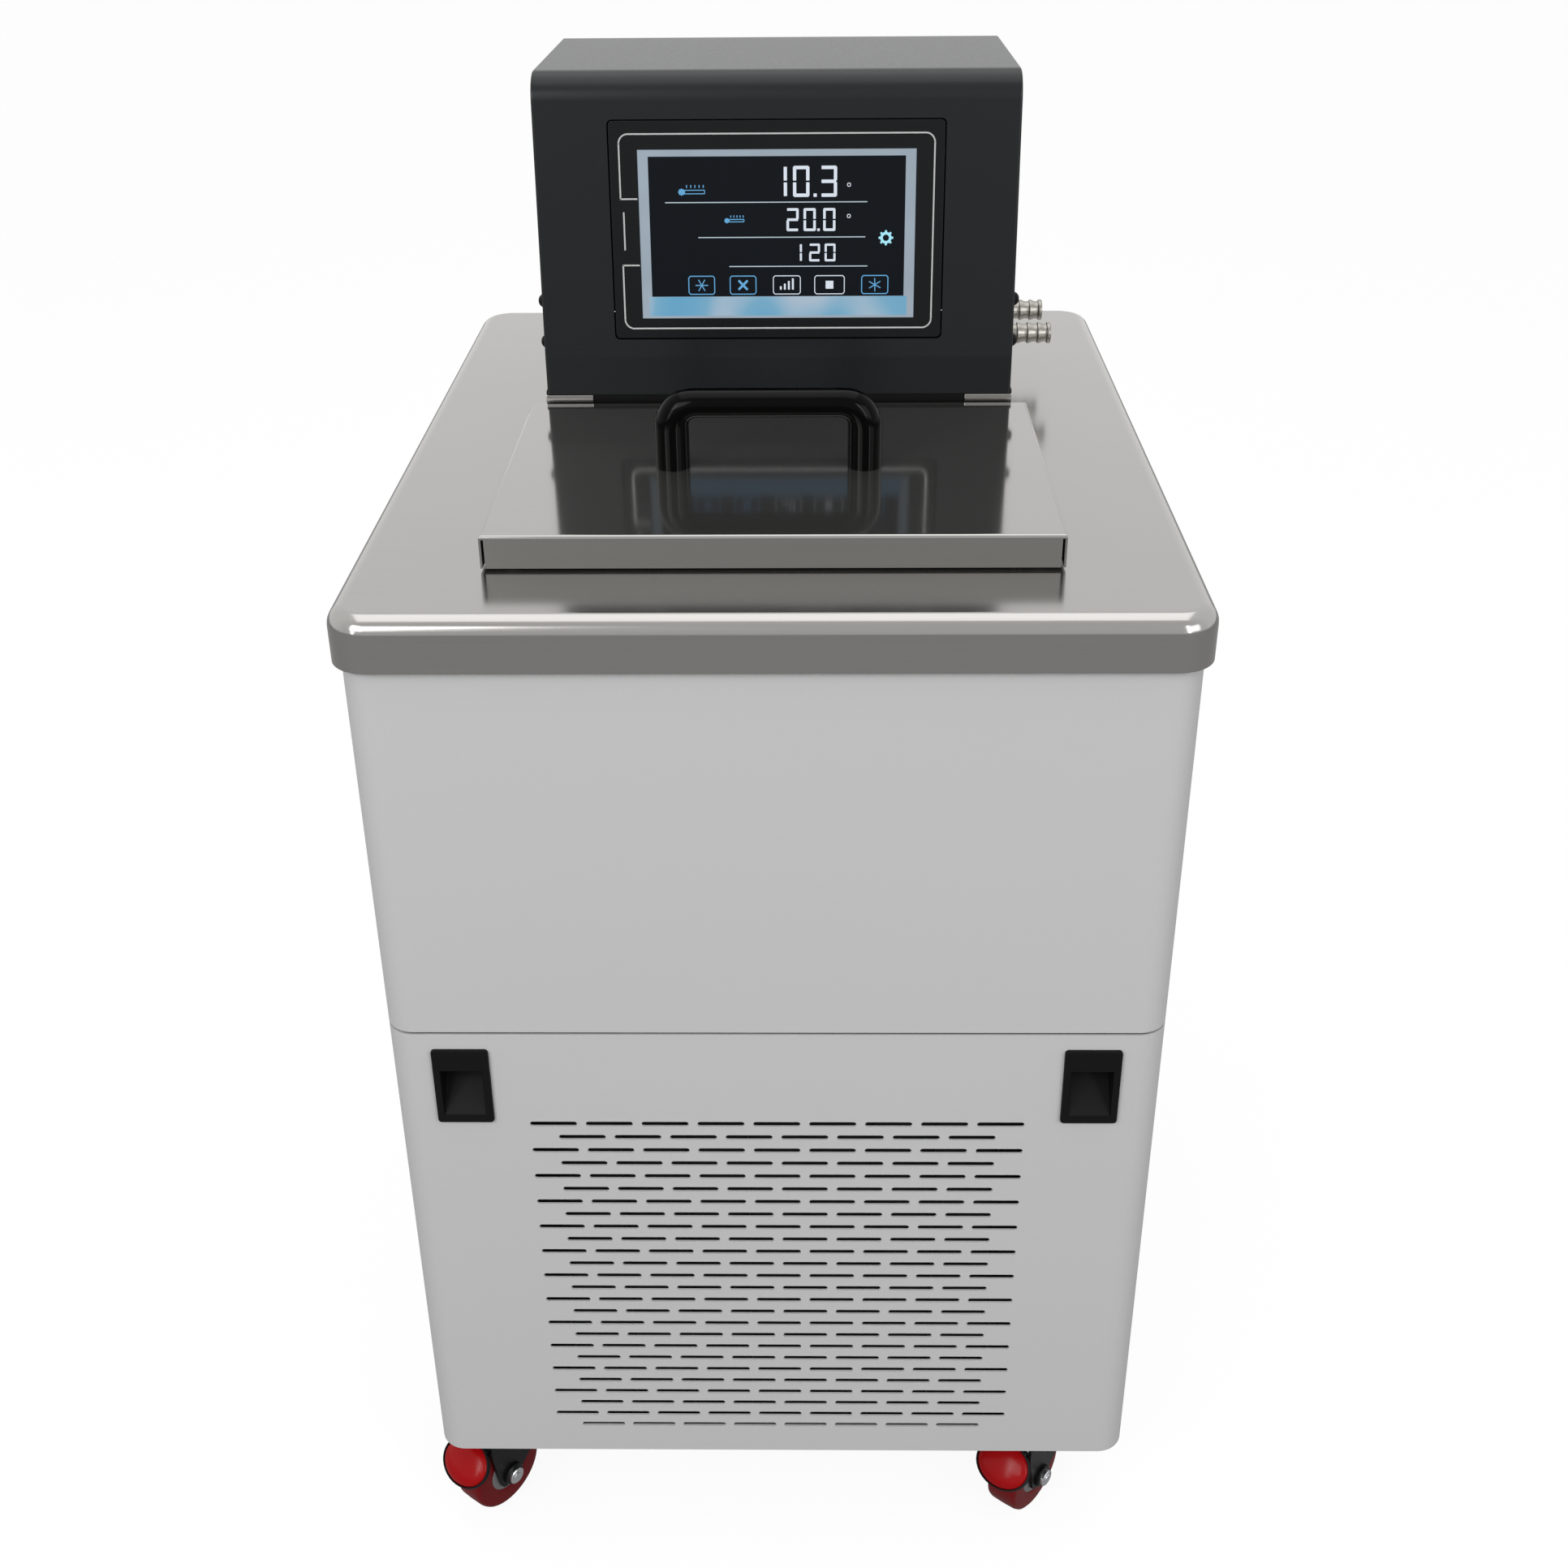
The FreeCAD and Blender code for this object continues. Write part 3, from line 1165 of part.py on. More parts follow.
def drain_recess():
    gap = s.fit_gap
    front, back = half_depth - s.sheet - s.recess_depth, half_depth - s.sheet - gap
    wall = s.recess_wall
    cup = block("recess_cup", recess_x, (front, back), recess_z)
    room = block("recess_room", (recess_x[0] + 4 + wall, recess_x[1] - 4 - wall), (front + wall, back + 5),
                 (recess_z[0] + 4 + wall, recess_z[1] - 4 - wall))
    way = prism("recess_pipe_way", 8, s.drain_radius + 1, 20, (-s.recess_side, drain_y, recess_z[1] - 10))
    return node("drain_recess", cut("recess_cut", cup, room, way))


valve_z = s.recess_low + s.recess_height * 0.5
valve_half = 9


def drain_valve():
    """Drain pipe from the tank's floor, with a valve and a spout in the recess."""
    x = -s.recess_side
    pipe = drawn("drain_pipe", rod([(x, drop_y, tank_z[0]), (x, drop_y, drain_level), (x, drain_y, drain_level),
                                    (x, drain_y, valve_z - 28)], s.drain_radius))
    case = block("valve_case", (x - valve_half, x + valve_half), (drain_y - valve_half, drain_y + valve_half),
                 (valve_z - valve_half, valve_z + valve_half))
    stem = prism("valve_stem_way", 16, socket_radius(dim(3)), 8, (x, drain_y + valve_half - 6, valve_z), "y")
    return node("drain_valve", cut("valve_cut", fuse("valve_solid", pipe, case), stem))


def drain_lever():
    x = -s.recess_side
    stem = prism("lever_stem", 8, 3, 8, (x, drain_y + valve_half - 5, valve_z), "y")
    face = drain_y + valve_half + 0.3
    arm = block("lever_arm", (x - 5, x + 5), (face, face + 3), (valve_z - s.lever_length, valve_z + 6))
    return node("drain_lever", fuse("lever_solid", stem, arm))


entry_mid = (entry_z[0] + entry_z[1]) / 2
rocker_x = (entry_x[0] + 5, entry_x[0] + 18)
rocker_y = half_depth + 0.5


def power_entry():
    """Moulded inlet with its rocker opening, on the rear panel."""
    flange = block("entry_flange", entry_x, (half_depth, half_depth + 2.5), entry_z)
    inset = 4 + s.fit_gap
    case = block("entry_case", (entry_x[0] + inset, entry_x[1] - inset), (half_depth - 24, half_depth + 1),
                 (entry_z[0] + inset, entry_z[1] - inset))
    socket = block("entry_socket", (entry_x[1] - 29, entry_x[1] - 7), (half_depth - 18, half_depth + 5),
                   (entry_mid - 8, entry_mid + 8))
    room = block("rocker_room", (rocker_x[0] - 0.4, rocker_x[1] + 0.4), (half_depth - 14, half_depth + 5),
                 (entry_mid - 10, entry_mid + 10))
    blades = [block(f"entry_blade_{index}", (entry_x[1] - 18 + offset - 1, entry_x[1] - 18 + offset + 1),
                    (half_depth - 19, half_depth - 4), (entry_mid + up - 3, entry_mid + up + 3))
              for index, (offset, up) in enumerate(((-7, -2), (0, 2), (7, -2)))]
    shell = cut("entry_shell", fuse("entry_solid", flange, case), socket, room)
    return node("power_entry", fuse("entry_whole", shell, *blades))


def power_rocker():
    """Rocker key with a shallow angle between its two faces, resting on one of them."""
    owner = body("rocker_body")
    front, back = rocker_y + 3.5, rocker_y - 7
    outline = [(back, entry_mid - 6), (rocker_y - 0.5, entry_mid - 9), (rocker_y + 0.8, entry_mid - 9),
               (rocker_y + 1.4, entry_mid), (front, entry_mid + 9), (rocker_y - 0.5, entry_mid + 9),
               (back, entry_mid + 6)]
    profile = sketch(owner, "rocker_profile", "YZ_Plane", [outline], offset=rocker_x[0])
    pad(owner, profile, rocker_x[1] - rocker_x[0])
    return node("power_rocker", owner)


def panel_screws():
    """Hexagon screws that hold the rear panel."""
    heads = []
    for side in (-1, 1):
        for level in (pan_top + 30, s.seam_height, shell_top - 40):
            heads.append(prism(f"panel_screw_{len(heads)}", 6, 4.5, 2.5,
                               (side * (panel_x - 7), half_depth, level), "y"))
    return node("panel_screws", compound("panel_screw_set", heads))


# Casters: fixed plates and races, then a fork, an axle bolt and a wheel at each corner

CASTERS = {"front_left": (-1, -1), "front_right": (1, -1), "rear_left": (-1, 1), "rear_right": (1, 1)}


def caster_spot(corner):
    side, ahead = CASTERS[corner]
    return side * s.caster_side, ahead * s.caster_ahead


def caster_turn():
    """Turn from a caster's own frame, where it trails along +X with its axle along +Y."""
    return FreeCAD.Rotation(V(0, 0, 1), 270 - s.caster_turn.value)


def set_caster(obj, corner):
    """Put a piece that is drawn about the swivel axis into its corner."""
    x, y = caster_spot(corner)
    return place(obj, (x, y, 0), caster_turn())


def caster_plates():
    pieces = []
    half = s.plate_size / 2
    for corner in CASTERS:
        x, y = caster_spot(corner)
        plate = block(f"{corner}_plate", (x - half, x + half), (y - half, y + half), (plate_under, s.cab_bottom))
        race = prism(f"{corner}_race", 8, s.race_radius, plate_under - s.fork_top - s.race_gap,
                     (x, y, s.fork_top + s.race_gap))
        pieces.append(fuse(f"{corner}_mount", plate, race))
    return node("caster_plates", compound("caster_plate_set", pieces))


fork_inner = s.wheel_width / 2 + s.wheel_gap
fork_outer = fork_inner + s.fork_sheet


def fork(corner):
    """Bent steel strap: a top under the race and two legs that taper to the axle."""
    owner = body(f"fork_{corner}_body")
    trail, axle = s.caster_trail, s.wheel_radius
    foot = s.fork_foot
    outline = [(-s.fork_back, s.fork_top), (s.fork_ahead, s.fork_top), (s.fork_knee, s.pin_height - foot * 0.55),
               (trail + foot, axle - 1), (trail + foot * 0.55, axle - s.fork_low),
               (trail - foot * 0.55, axle - s.fork_low), (trail - foot, axle), (-s.fork_back + 2, s.fork_top - foot)]
    profile = sketch(owner, f"fork_{corner}_profile", "XZ_Plane", [outline])
    pad(owner, profile, fork_outer * 2, both=True)
    hollow = sketch(owner, f"fork_{corner}_hollow", "XZ_Plane",
                    [rectangle((-40, 80), (-20, s.fork_top - s.fork_sheet))])
    pocket(owner, hollow, fork_inner * 2, both=True)
    hole = prism(f"fork_{corner}_hole", 8, s.axle_radius, fork_outer * 4, (trail, -fork_outer * 2, axle), "y")
    return node(f"fork_{corner}", set_caster(cut(f"fork_{corner}_cut", owner, hole), corner))


def axle_bolt(corner):
    """Axle bolt with its head on one leg and its nut on the other."""
    trail, axle = s.caster_trail, s.wheel_radius
    shank = prism(f"axle_{corner}_shank", 8, s.axle_radius, fork_outer * 2 + 6,
                  (trail, -fork_outer, axle), "y")
    head = prism(f"axle_{corner}_head", 6, 5.5, 3.5, (trail, -fork_outer - 3.5, axle), "y")
    nut = prism(f"axle_{corner}_nut", 6, 5.5, 5, (trail, fork_outer, axle), "y")
    return node(f"axle_{corner}", set_caster(fuse(f"axle_{corner}_solid", shank, head, nut), corner))


def wheel(corner):
    """Moulded wheel with its tread, turning on the axle bolt."""
    trail, axle = s.caster_trail, s.wheel_radius
    half = s.wheel_width / 2
    tread = prism(f"wheel_{corner}_tread", s.wheel_sides, s.wheel_radius, s.wheel_width, (trail, -half, axle), "y")
    bore = prism(f"wheel_{corner}_bore", 12, s.axle_radius + s.axle_gap, s.wheel_width + 2,
                 (trail, -half - 1, axle), "y")
    return node(f"wheel_{corner}", set_caster(cut(f"wheel_{corner}_cut", tread, bore), corner))


def pedal(corner):
    """Brake pedal: a round pad on a short arm that turns on a pin between the fork's legs."""
    tilt = s.pedal_tilt
    pad_x = s.pedal_reach - s.pedal_thick * cosine(tilt)
    pad_z = s.pedal_height - s.pedal_thick * sine(tilt)
    disc = doc.addObject("Part::Prism", f"pedal_{corner}_pad")
    disc.Polygon = 12
    bind(disc, "Circumradius", s.pedal_radius)
    bind(disc, "Height", s.pedal_thick)
    place(disc, (pad_x, 0, pad_z), FreeCAD.Rotation(V(0, 1, 0), 90 - s.pedal_tilt.value))
    half = fork_inner - 2
    arm = block(f"pedal_{corner}_arm", (s.pin_reach - 3, s.pedal_reach - 8), (-half, half),
                (s.pin_height - 2.2, s.pin_height + 2.2))
    pin = prism(f"pedal_{corner}_pin", 6, s.pedal_pin, fork_inner * 2 - 0.4,
                (s.pin_reach, -fork_inner + 0.2, s.pin_height), "y")
    return node(f"pedal_{corner}", set_caster(fuse(f"pedal_{corner}_solid", disc, arm, pin), corner))


for make in (base_pan, lower_shell, upper_shell, rear_panel, mid_shelf, deck, tank, tank_insulation,
             lid, lid_gasket, lid_handle, handle_screws, head_base, head_cover, head_back,
             display_bezel, display_panel, control_board, cover_screws, pump_motor, pump_shaft, impeller,
             pump_housing, outlet_pipe, return_pipe, heater, evaporator_coil, temperature_probe,
             condenser, fan_shroud, fan_motor, fan_blades, compressor, compressor_mounts,
             refrigerant_pipes, control_box, drain_recess, drain_valve, drain_lever,
             power_entry, power_rocker, panel_screws, caster_plates):
    make()
grip("left_grip", -1)
grip("right_grip", 1)
for corner in CASTERS:
    fork(corner)
    axle_bolt(corner)
    wheel(corner)
for corner in ("front_left", "front_right"):
    pedal(corner)

doc.recompute()
for obj in doc.Objects:
    if "Invalid" in obj.State or "Error" in obj.State:
        raise RuntimeError(f"{obj.Label} did not rebuild: {obj.State}")
for name, obj in nodes.items():
    if obj.Shape.isNull() or not obj.Shape.isValid() or not obj.Shape.Solids:
        raise RuntimeError(f"{name} has no valid solid")

os.makedirs("parts", exist_ok=True)
for name, obj in nodes.items():
    obj.Shape.exportStep(f"parts/{name}.step")
    print(f"{name}: {len(obj.Shape.Solids)} solid(s), {obj.Shape.Volume / 1000:.1f} cm3")
whole = Part.makeCompound([obj.Shape for obj in nodes.values()]).BoundBox
print(f"{len(nodes)} pieces, {whole.XLength:.1f} x {whole.YLength:.1f} x {whole.ZLength:.1f} mm")
print(f"limits {whole.XMin:.2f} {whole.XMax:.2f} {whole.YMin:.2f} {whole.YMax:.2f} {whole.ZMin:.2f} {whole.ZMax:.2f}")
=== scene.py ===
# %% [markdown]
# # A refrigerated bath on casters, piece by piece
# The CAD model gives every size and place of this laboratory bath. Blender gives its looks: smooth edges,
# a round grip, brushed steel and a lit display. We start by loading the CAD model, whose pieces stay
# where they are. Nothing that we add may be larger.

# %% Load the imported model
import json
import math

import bpy
from mathutils import Matrix, Vector


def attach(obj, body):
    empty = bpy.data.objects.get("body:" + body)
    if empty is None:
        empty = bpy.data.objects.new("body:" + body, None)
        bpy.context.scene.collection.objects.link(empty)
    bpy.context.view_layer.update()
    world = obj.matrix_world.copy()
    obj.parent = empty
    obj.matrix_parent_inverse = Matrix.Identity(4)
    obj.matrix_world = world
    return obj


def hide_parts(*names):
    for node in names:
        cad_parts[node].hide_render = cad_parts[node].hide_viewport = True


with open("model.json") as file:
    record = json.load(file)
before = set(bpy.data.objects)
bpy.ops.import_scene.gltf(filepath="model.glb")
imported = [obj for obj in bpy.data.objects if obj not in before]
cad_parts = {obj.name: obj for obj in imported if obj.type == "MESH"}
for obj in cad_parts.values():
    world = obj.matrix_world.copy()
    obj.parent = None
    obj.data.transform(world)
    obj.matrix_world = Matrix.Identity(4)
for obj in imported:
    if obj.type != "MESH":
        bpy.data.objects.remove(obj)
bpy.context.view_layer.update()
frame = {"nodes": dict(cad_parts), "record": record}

MM = 0.001

# %% [markdown]
# The photograph was taken from just in front of the bath and a little above it, looking down by 29
# degrees, so the sides run together towards the floor. A long lens from further off would show the same
# face, but with straight sides. The camera is therefore close, and its turn, tilt and roll are three
# small angles.

# %% Camera at the photograph's place
scene = bpy.context.scene
scene.view_settings.view_transform = "Standard"
yaw, pitch, roll = math.radians(0.95), math.radians(29.18), math.radians(0.5)
ahead = Vector((-math.sin(yaw) * math.cos(pitch), math.cos(yaw) * math.cos(pitch), -math.sin(pitch)))
level = Vector((math.cos(yaw), math.sin(yaw), 0))
above = Vector((-math.sin(yaw) * math.sin(pitch), math.cos(yaw) * math.sin(pitch), math.cos(pitch)))
right = math.cos(roll) * level - math.sin(roll) * above
top = math.sin(roll) * level + math.cos(roll) * above
lens = bpy.data.cameras.new("camera")
lens.sensor_width = 36
lens.lens = 43.9
lens.clip_start = 0.02
camera = bpy.data.objects.new("camera", lens)
scene.collection.objects.link(camera)
camera.matrix_world = Matrix((right, top, -ahead)).transposed().to_4x4()
camera.location = (0.0184, -1.04065, 0.9547)
scene.camera = camera
print("camera looks down by", round(math.degrees(pitch), 1), "degrees")

# %% [markdown]
# A shader is a sum of small steps, and each step is a node. Writing them out one by one hides the sum, so
# this class wraps a socket and lets Python's own signs add the Math nodes. An expression such as 0.3 +
# 0.1 * grain then reads as what it does.

# %% Sockets that can be added and multiplied
class Amount:
    def __init__(self, finish, socket):
        self.finish, self.socket = finish, socket

    def sum_up(self, operation, first, second):
        return self.finish.node("ShaderNodeMath", {"operation": operation}, {0: first, 1: second})

    def __add__(self, other):
        return self.sum_up("ADD", self, other)

    def __radd__(self, other):
        return self.sum_up("ADD", other, self)

    def __mul__(self, other):
        return self.sum_up("MULTIPLY", self, other)

    def __rmul__(self, other):
        return self.sum_up("MULTIPLY", other, self)

# %% [markdown]
# Every finish on the bath is one material with the same start: a Principled shader whose plain numbers
# are set on its own sockets. One method adds any other node, with its settings first and its sockets
# after them, and what changes over the surface, such as tone, roughness and relief, is linked last.

# %% A finish and its nodes
class Finish:
    def __init__(self, name, **plain):
        self.material = bpy.data.materials.new(name)
        self.material.use_nodes = True
        self.tree = self.material.node_tree
        self.shader = self.tree.nodes["Principled BSDF"]
        for title, value in plain.items():
            self.shader.inputs[title.replace("_", " ")].default_value = value

    def node(self, kind, settings=None, inputs=None, output=0):
        made = self.tree.nodes.new(kind)
        for name, value in (settings or {}).items():
            if name == "stops":
                for place, colour in value:
                    stop = made.color_ramp.elements.new(place)
                    stop.color = colour
                made.color_ramp.elements.remove(made.color_ramp.elements[0])
                made.color_ramp.elements.remove(made.color_ramp.elements[-1])
            else:
                setattr(made, name, value)
        for key, value in (inputs or {}).items():
            self.feed(made.inputs[key], value)
        return Amount(self, made.outputs[output])

    def feed(self, socket, value):
        if isinstance(value, Amount):
            self.tree.links.new(value.socket, socket)
        else:
            socket.default_value = value

    def link(self, **varied):
        for title, value in varied.items():
            self.feed(self.shader.inputs[title.replace("_", " ")], value)
        return self

    def place(self, stretch=(1, 1, 1)):
        here = self.node("ShaderNodeTexCoord", output=3)
        return self.node("ShaderNodeMapping", inputs={0: here, 3: stretch})

    def grain(self, scale, stretch=(1, 1, 1), detail=2.0, roughness=0.5):
        return self.node("ShaderNodeTexNoise", inputs={
            "Vector": self.place(stretch), "Scale": scale, "Detail": detail, "Roughness": roughness})

    def blend(self, factor, first, second):
        return self.node("ShaderNodeMix", {"data_type": "RGBA"}, {0: factor, 6: first, 7: second}, output=2)

    def relief(self, height, depth, strength=1.0):
        return self.node("ShaderNodeBump", inputs={
            "Height": height, "Distance": depth, "Strength": strength})

# %% [markdown]
# The cabinet is steel sheet with a powder coat. Powder melts into a skin that is never quite flat, so
# light breaks up in a fine orange peel about a millimetre across. Noise as relief gives that, and a
# second, very wide noise lets the tone drift a little, as it does on a large painted panel.

# %% Powder coat
def shade(colour, factor):
    return tuple(channel * factor for channel in colour[:3]) + (1,)


def powder_coat(name, colour, gloss, peel=0.00004, drift=0.02, specular=0.5):
    finish = Finish(name, Specular_IOR_Level=specular)
    wide = finish.grain(3.0, detail=3.0)
    fine = finish.grain(650.0, detail=1.5)
    finish.link(Base_Color=finish.blend(wide, shade(colour, 1 - drift), shade(colour, 1 + drift)),
                Roughness=gloss - 0.05 + 0.1 * fine,
                Normal=finish.relief(fine, peel, 0.6))
    return finish.material


FINISHES = {
    "cabinet_paint": powder_coat("cabinet_paint", (0.60, 0.60, 0.60), 0.42),
    "head_paint": powder_coat("head_paint", (0.0068, 0.0082, 0.0092), 0.3,
                              peel=0.00003, drift=0.1, specular=0.3),
    "motor_grey": powder_coat("motor_grey", (0.1, 0.105, 0.11), 0.5),
    "fork_black": powder_coat("fork_black", (0.006, 0.006, 0.0065), 0.35, specular=0.2),
    "compressor_black": powder_coat("compressor_black", (0.006, 0.006, 0.0065), 0.3, specular=0.3),
}
print("painted finishes:", ", ".join(FINISHES))

# %% [markdown]
# Deck, lid and tank are stainless sheet with a brushed grain. The belt that brushes it leaves long hair
# lines, all one way. A noise that is stretched far along one axis draws them, and it drives the roughness
# and a very shallow relief. The finest lines are too small to see. They scatter a little light all round,
# so a few hundredths of the metal count as matt, which lays a faint haze over every reflection.

# %% Brushed and rolled steel
def brushed_steel(name, colour, gloss, stretch=(2, 260, 260), depth=0.000004, smear=0.03, haze=0.0):
    finish = Finish(name, Metallic=1 - haze, Specular_IOR_Level=0)
    lines = finish.grain(6.0, stretch, detail=4.0, roughness=0.65)
    handled = finish.grain(5.0, detail=4.0)
    finish.link(Base_Color=finish.blend(lines, shade(colour, 0.95), shade(colour, 1.05)),
                Roughness=gloss - smear + 0.06 * lines + smear * handled,
                Normal=finish.relief(lines, depth, 0.5))
    return finish.material


FINISHES.update({
    "stainless": brushed_steel("stainless", (0.42, 0.41, 0.395), 0.15, haze=0.05),
    "galvanised": brushed_steel("galvanised", (0.5, 0.51, 0.52), 0.38, stretch=(12, 12, 12), depth=0.00002),
    "screw_steel": brushed_steel("screw_steel", (0.62, 0.62, 0.63), 0.25, stretch=(90, 90, 90)),
    "zinc": brushed_steel("zinc", (0.66, 0.67, 0.69), 0.24, stretch=(90, 90, 90)),
    "pump_steel": brushed_steel("pump_steel", (0.6, 0.6, 0.6), 0.3, stretch=(30, 30, 300)),
    "copper": brushed_steel("copper", (0.72, 0.38, 0.22), 0.25, stretch=(60, 60, 60)),
    "valve_brass": brushed_steel("valve_brass", (0.68, 0.5, 0.22), 0.28, stretch=(60, 60, 60)),
    # Painted shade: the condenser metal is nearly black, for the dark seen behind the front slots.
    "condenser_metal": brushed_steel("condenser_metal", (0.04, 0.042, 0.044), 0.5, stretch=(400, 20, 20)),
})
MIRROR_SHEET = brushed_steel("mirror_sheet", (0.42, 0.413, 0.4), 0.07,
                             depth=0.000001, smear=0.02, haze=0.05)
TURNED_STEEL = brushed_steel("turned_steel", (0.34, 0.325, 0.3), 0.3, stretch=(200, 20, 20))
print("metals ready")

# %% [markdown]
# The plastics differ in their moulds. A polished mould gives the black handle its piano gloss, and a
# spark-eroded one gives the grips a fine matt grain. The same recipe serves for both, with more or less
# relief, and for the rubber of the wheels.

# %% Moulded plastic and rubber
def moulded(name, colour, gloss, grain_size=900.0, depth=0.00002, specular=0.5):
    finish = Finish(name, Specular_IOR_Level=specular)
    skin = finish.grain(grain_size, detail=2.0)
    worn = finish.grain(14.0, detail=3.0)
    finish.link(Base_Color=finish.blend(worn, shade(colour, 0.9), shade(colour, 1.12)),
                Roughness=gloss - 0.04 + 0.08 * worn,
                Normal=finish.relief(skin, depth, 0.5))
    return finish.material


FINISHES.update({
    "gloss_black": moulded("gloss_black", (0.0002, 0.0002, 0.0002), 0.13, depth=0.000003, specular=0.09),
    "matte_black": moulded("matte_black", (0.004, 0.004, 0.0042), 0.5, depth=0.00005, specular=0.15),
    "bezel_grey": moulded("bezel_grey", (0.005, 0.006, 0.0066), 0.34, depth=0.00001, specular=0.18),
    "gasket": moulded("gasket", (0.02, 0.02, 0.02), 0.6, depth=0.00004),
    "foam": moulded("foam", (0.72, 0.68, 0.5), 0.85, grain_size=300.0, depth=0.0004),
    "board_green": moulded("board_green", (0.02, 0.16, 0.06), 0.4),
    "impeller_plastic": moulded("impeller_plastic", (0.7, 0.7, 0.68), 0.4),
    "box_grey": moulded("box_grey", (0.32, 0.33, 0.34), 0.5),
    "wheel_tread": moulded("wheel_tread", (0.16, 0.006, 0.008), 0.4, depth=0.00004, specular=0.15),
    "hub_grey": moulded("hub_grey", (0.2, 0.2, 0.205), 0.4, specular=0.3),
    "pedal_red": moulded("pedal_red", (0.34, 0.003, 0.0045), 0.2, depth=0.000006, specular=0.15),
    "lever_red": moulded("lever_red", (0.4, 0.008, 0.01), 0.3, specular=0.3),
    "display": moulded("display", (0.004, 0.006, 0.01), 0.12, depth=0.000002, specular=0.2),
})
slot_of = {part["node"]: part["material_slot"] for part in frame["record"]["subparts"]}
for node_name, piece in frame["nodes"].items():
    piece.data.materials.clear()
    piece.data.materials.append(FINISHES[slot_of[node_name]])
print(len(frame["nodes"]), "CAD pieces have a finish")

# %% [markdown]
# Modelling by hand means: add a block, pick some of its faces or edges, and push, bevel or cut them. The
# same few moves return for every piece, so each gets a short function. Sizes are in millimetres, as on a
# drawing.

# %% Blocks, picks and cuts
def block(name, low, high):
    bpy.ops.object.select_all(action="DESELECT")
    size = [(b - a) * MM for a, b in zip(low, high)]
    middle = [(a + b) / 2 * MM for a, b in zip(low, high)]
    bpy.ops.mesh.primitive_cube_add(size=1, location=middle, scale=size)
    bpy.ops.object.transform_apply()
    made = bpy.context.object
    made.name = made.data.name = name
    return made


def only(piece):
    bpy.ops.object.select_all(action="DESELECT")
    bpy.context.view_layer.objects.active = piece
    piece.select_set(True)


def pick(piece, kind, test):
    only(piece)
    bpy.ops.object.mode_set(mode="EDIT")
    bpy.ops.mesh.select_mode(type=kind)
    bpy.ops.mesh.select_all(action="DESELECT")
    bpy.ops.object.mode_set(mode="OBJECT")
    mesh = piece.data
    if kind == "FACE":
        for face in mesh.polygons:
            face.select = test(face.center / MM, face.normal)
    elif kind == "VERT":
        for corner in mesh.vertices:
            corner.select = test(corner.co / MM, corner.normal)
    else:
        for edge in mesh.edges:
            start, end = (mesh.vertices[index].co for index in edge.vertices)
            edge.select = test((start + end) / 2 / MM, (end - start).normalized())
    bpy.ops.object.mode_set(mode="EDIT")


def leave():
    bpy.ops.object.mode_set(mode="OBJECT")


def bevel(piece, test, width, steps=4):
    pick(piece, "EDGE", test)
    bpy.ops.mesh.bevel(offset=width * MM, segments=steps, profile=0.5, affect="EDGES")
    leave()


def open_faces(piece, test):
    pick(piece, "FACE", test)
    bpy.ops.mesh.delete(type="FACE")
    leave()


def apply_change(piece, kind, **settings):
    only(piece)
    change = piece.modifiers.new(kind.lower(), kind)
    for name, value in settings.items():
        setattr(change, name, value)
    bpy.ops.object.modifier_apply(modifier=change.name)


def to_sheet(piece, wall):
    apply_change(piece, "SOLIDIFY", thickness=wall * MM, offset=-1, use_even_offset=True)


def cut_out(piece, *cutters):
    for cutter in cutters:
        apply_change(piece, "BOOLEAN", operation="DIFFERENCE", object=cutter, solver="EXACT")
        bpy.data.objects.remove(cutter)

# %% [markdown]
# When a piece has its shape, it is finished the same way each time: smooth where it curves and sharp
# where it folds, given its finish, and set to ride on a body of the CAD model. Weighted normals keep each
# large face flat up to its bevels, and without them the steel would mirror the room bent. CAD pieces that
# it stands for hide.

# %% Finish a piece
def finish_piece(piece, body, slot, *stands_for, angle=32, material=None):
    only(piece)
    bpy.ops.object.transform_apply()
    bpy.ops.object.shade_smooth_by_angle(angle=math.radians(angle))
    apply_change(piece, "WEIGHTED_NORMAL", keep_sharp=True, weight=80)
    piece.data.materials.clear()
    piece.data.materials.append(material or FINISHES[slot])
    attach(piece, body)
    if stands_for:
        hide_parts(*stands_for)
    print(piece.name, "has", len(piece.data.polygons), "faces")
    return piece


def turned(name, at, axis, stations, sides=32):
    """A lathe-turned piece: a circle that is pulled along an axis and resized at each station."""
    bpy.ops.object.select_all(action="DESELECT")
    along = Vector(axis).normalized()
    start = Vector(at) * MM
    first, radius = stations[0]
    turn = along.to_track_quat("Z", "Y").to_euler()
    bpy.ops.mesh.primitive_circle_add(vertices=sides, radius=radius * MM, fill_type="NGON",
                                      location=start + along * first * MM, rotation=turn)
    bpy.ops.object.transform_apply()
    made = bpy.context.object
    made.name = made.data.name = name
    bpy.ops.object.mode_set(mode="EDIT")
    bpy.ops.mesh.select_all(action="SELECT")
    before, last = first, radius
    for distance, radius in stations[1:]:
        step = along * (distance - before) * MM
        bpy.ops.mesh.extrude_region_move(TRANSFORM_OT_translate={"value": step})
        if radius != last:
            bpy.ops.transform.resize(value=[radius / last] * 3,
                                     center_override=start + along * distance * MM)
        before, last = distance, radius
    bpy.ops.mesh.select_all(action="SELECT")
    bpy.ops.mesh.normals_make_consistent(inside=False)
    leave()
    return made

# %% [markdown]
# Screws, nozzles, grips and casters come in sets. Each is modelled once, at a handy place, and every copy
# gets a mesh of its own, which a matrix sets in its place. The model itself is then taken away.

# %% Copies
def moved(x=0, y=0, z=0):
    return Matrix.Translation((x * MM, y * MM, z * MM))


def turned_round(half_turns):
    return Matrix.Rotation(half_turns * math.pi, 4, "Z")


